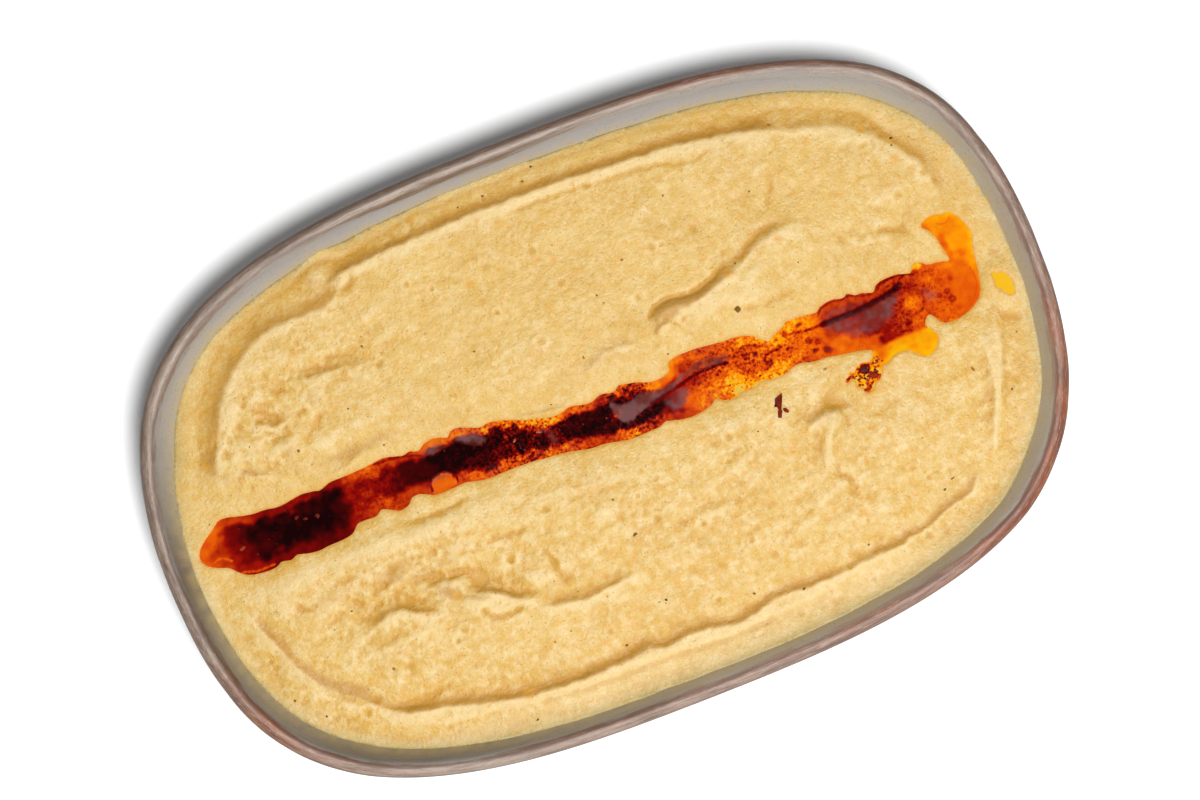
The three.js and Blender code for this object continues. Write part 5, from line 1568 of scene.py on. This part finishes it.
def laid(rng, table, height_at, thickness, corners, rise):
    """The chips of a table, each laid on what height_at gives and raised a little."""
    chips = []
    for x, y, length, width, turn, tone in table:
        x, y = x * SEEN, y * SEEN
        shape = chip(rng, length, width, thickness, turn, corners)
        chips.append((*shape, x, y, height_at(x, y) + rise, tone))
    return chips


def clump_flakes(rng):
    """Small flakes heaped in the spill's clump."""
    chips = []
    for _ in range(CLUMP_FLAKES):
        x, y = rng.normal(*CLUMP) * SEEN
        if outside_of(CHANNEL_OUTLINE, np.array([x]), np.array([y]))[0] < -0.25:
            size = rng.uniform(0.25, 0.6), rng.uniform(0.2, 0.35)
            shape = chip(rng, *size, 0.12, rng.uniform(0, 180), corners=8)
            chips.append((*shape, x, y, oil_at(x, y) + 0.05, rng.uniform(0.1, 0.85)))
    return chips


def strewn_flakes(rng):
    """Bits of chilli all along the channel, more of them where it is grainy."""
    x = rng.uniform(-104, 98, OIL_DRAWS)
    far, near_bank = bank_lines(x)
    y = near_bank + (far - near_bank) * rng.uniform(0.03, 0.97, OIL_DRAWS)
    away = outside_of(CHANNEL_OUTLINE, x, y)
    grain = along_channel(x)[-1] * (0.4 + 1.2 * clouds(x, y, size=3.5, seed=131))
    kept = (rng.uniform(0, 1, OIL_DRAWS) < 0.55 * grain) & (away < -0.35) & (painted_reflection(x, y) < 0.5)
    sizes, shares = OIL_SIZES
    chips = []
    for px, py in zip(x[kept], y[kept]):
        size = rng.choice(sizes, p=shares)
        shape = chip(rng, size, size * rng.uniform(0.45, 0.9), 0.08, rng.uniform(0, 180), corners=7)
        tone = np.clip(rng.normal(0.45, 0.2), 0.15, 0.9)
        chips.append((*shape, px, py, oil_at(px, py) + 0.04, tone))
    return chips


def strewn_specks(rng):
    """Specks all over the hummus."""
    x = rng.uniform(-HALF_LENGTH, HALF_LENGTH, SPECK_DRAWS)
    y = rng.uniform(-HALF_WIDTH, HALF_WIDTH, SPECK_DRAWS)
    top, away = hummus_height(x, y)
    kept = (oval_share(x, y) < 0.9) & (away > 1.2)
    sizes, shares = SPECK_SIZES
    chips = []
    for px, py, pz in zip(x[kept], y[kept], top[kept]):
        size = rng.choice(sizes, p=shares)
        shape = chip(rng, size, size * rng.uniform(0.5, 1), 0.06, rng.uniform(0, 180), corners=6)
        chips.append((*shape, px, py, pz + 0.02, rng.uniform(0.3, 1.0)))
    return chips


def oil_flakes():
    rng = np.random.default_rng(7)
    placed = laid(rng, PLACED_FLAKES, oil_at, thickness=0.16, corners=11, rise=0.06)
    return placed + clump_flakes(rng) + strewn_flakes(rng)


def loose_flakes():
    return laid(np.random.default_rng(5), LOOSE_FLAKES, hummus_at, thickness=0.4, corners=14, rise=0.2)


def skin_specks():
    rng = np.random.default_rng(11)
    return laid(rng, PLACED_SPECKS, hummus_at, thickness=0.12, corners=8, rise=0.05) + strewn_specks(rng)


def scrap():
    return laid(np.random.default_rng(6), SCRAP, hummus_at, thickness=0.45, corners=12, rise=0.2)


# ---- The stage ----

CAMERA_HEIGHT = 720.0  # above the rim
FRAME_WIDTH = 299.0  # of the picture, at the rim
SENSOR = 36.0
ROLL = -21.4  # degrees
AIM = (0.53, 4.79)
FAR_CLIP = 20  # metres
# The lamps: (name, direction that it stands in, elevation in degrees, distance, width, power).
LAMPS = (
    ("key", (0.40, -0.92), 82.0, 1000.0, 170.0, 9.6),
    ("side", (0.05, -1.0), 46.0, 800.0, 420.0, 2.2),
)
SKY = 0.24
WHITE = (1, 1, 1, 1)
FLOOR_HALF = 3.0  # metres
FLOOR_GREYS = (0.94, 0.96)


def floor_material():
    s = Surface("white_floor")
    low, high = ((grey, grey, grey, 1) for grey in FLOOR_GREYS)
    return s.set(Base_Color=s.mix(s.noise(40), low, high), Roughness=0.9, IOR=1.3)


def add_floor():
    mesh = bpy.data.meshes.new("floor")
    corners = [(x * FLOOR_HALF, y * FLOOR_HALF, 0) for x, y in ((-1, -1), (1, -1), (1, 1), (-1, 1))]
    mesh.from_pydata(corners, [], [(0, 1, 2, 3)])
    mesh.materials.append(floor_material())
    floor = bpy.data.objects.new("floor", mesh)
    bpy.context.collection.objects.link(floor)


def add_light(name, toward, elevation, distance, width, power):
    """A round lamp that shines at the middle of the foot."""
    light = bpy.data.lights.new(name, "AREA")
    light.shape = "DISK"
    light.size = width * MM
    light.energy = power
    lamp = bpy.data.objects.new(name, light)
    bpy.context.collection.objects.link(lamp)
    reach = distance * math.cos(math.radians(elevation))
    height = distance * math.sin(math.radians(elevation))
    lamp.location = Vector((toward[0] * reach, toward[1] * reach, height)) * MM
    lamp.rotation_euler = (-lamp.location).to_track_quat("-Z", "Y").to_euler()


def add_sky():
    world = bpy.data.worlds.new("studio")
    world.use_nodes = True
    background = world.node_tree.nodes["Background"]
    background.inputs["Color"].default_value = WHITE
    background.inputs["Strength"].default_value = SKY
    bpy.context.scene.world = world
    bpy.context.scene.view_settings.view_transform = "Standard"


def add_camera():
    camera = bpy.data.cameras.new("camera")
    camera.sensor_width = SENSOR
    camera.lens = SENSOR * CAMERA_HEIGHT / FRAME_WIDTH
    camera.clip_end = FAR_CLIP
    eye = bpy.data.objects.new("camera", camera)
    bpy.context.collection.objects.link(eye)
    eye.location = Vector((*AIM, RIM_HEIGHT + CAMERA_HEIGHT)) * MM
    eye.rotation_euler = (0, 0, math.radians(ROLL))
    bpy.context.scene.camera = eye


def set_stage():
    add_floor()
    for lamp in LAMPS:
        add_light(*lamp)
    add_sky()
    add_camera()


# ---- The object ----


def stand_for(piece, slot, *nodes):
    if nodes:
        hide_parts(*nodes)


def build():
    stand_for(make_dish(), "stoneware", "dish")
    stand_for(make_hummus(), "hummus", "hummus")
    oil = oil_material()
    stand_for(make_oil("chilli_oil_pool", CHANNEL_OUTLINE, oil), "chilli_oil", "chilli_oil")
    stand_for(make_oil("thin_oil_drop", DROP_OUTLINE, oil), "oil_drop", "oil_drop")
    flake = flake_material()
    speck = speck_material()
    stand_for(scatter("flakes_in_oil", oil_flakes(), flake), "chilli_oil")
    stand_for(scatter("flakes_on_hummus", loose_flakes(), flake), "chilli_oil")
    stand_for(scatter("skin_specks", skin_specks(), speck), "hummus")
    stand_for(scatter("skin_scrap", scrap(), speck), "hummus")


build()
set_stage()
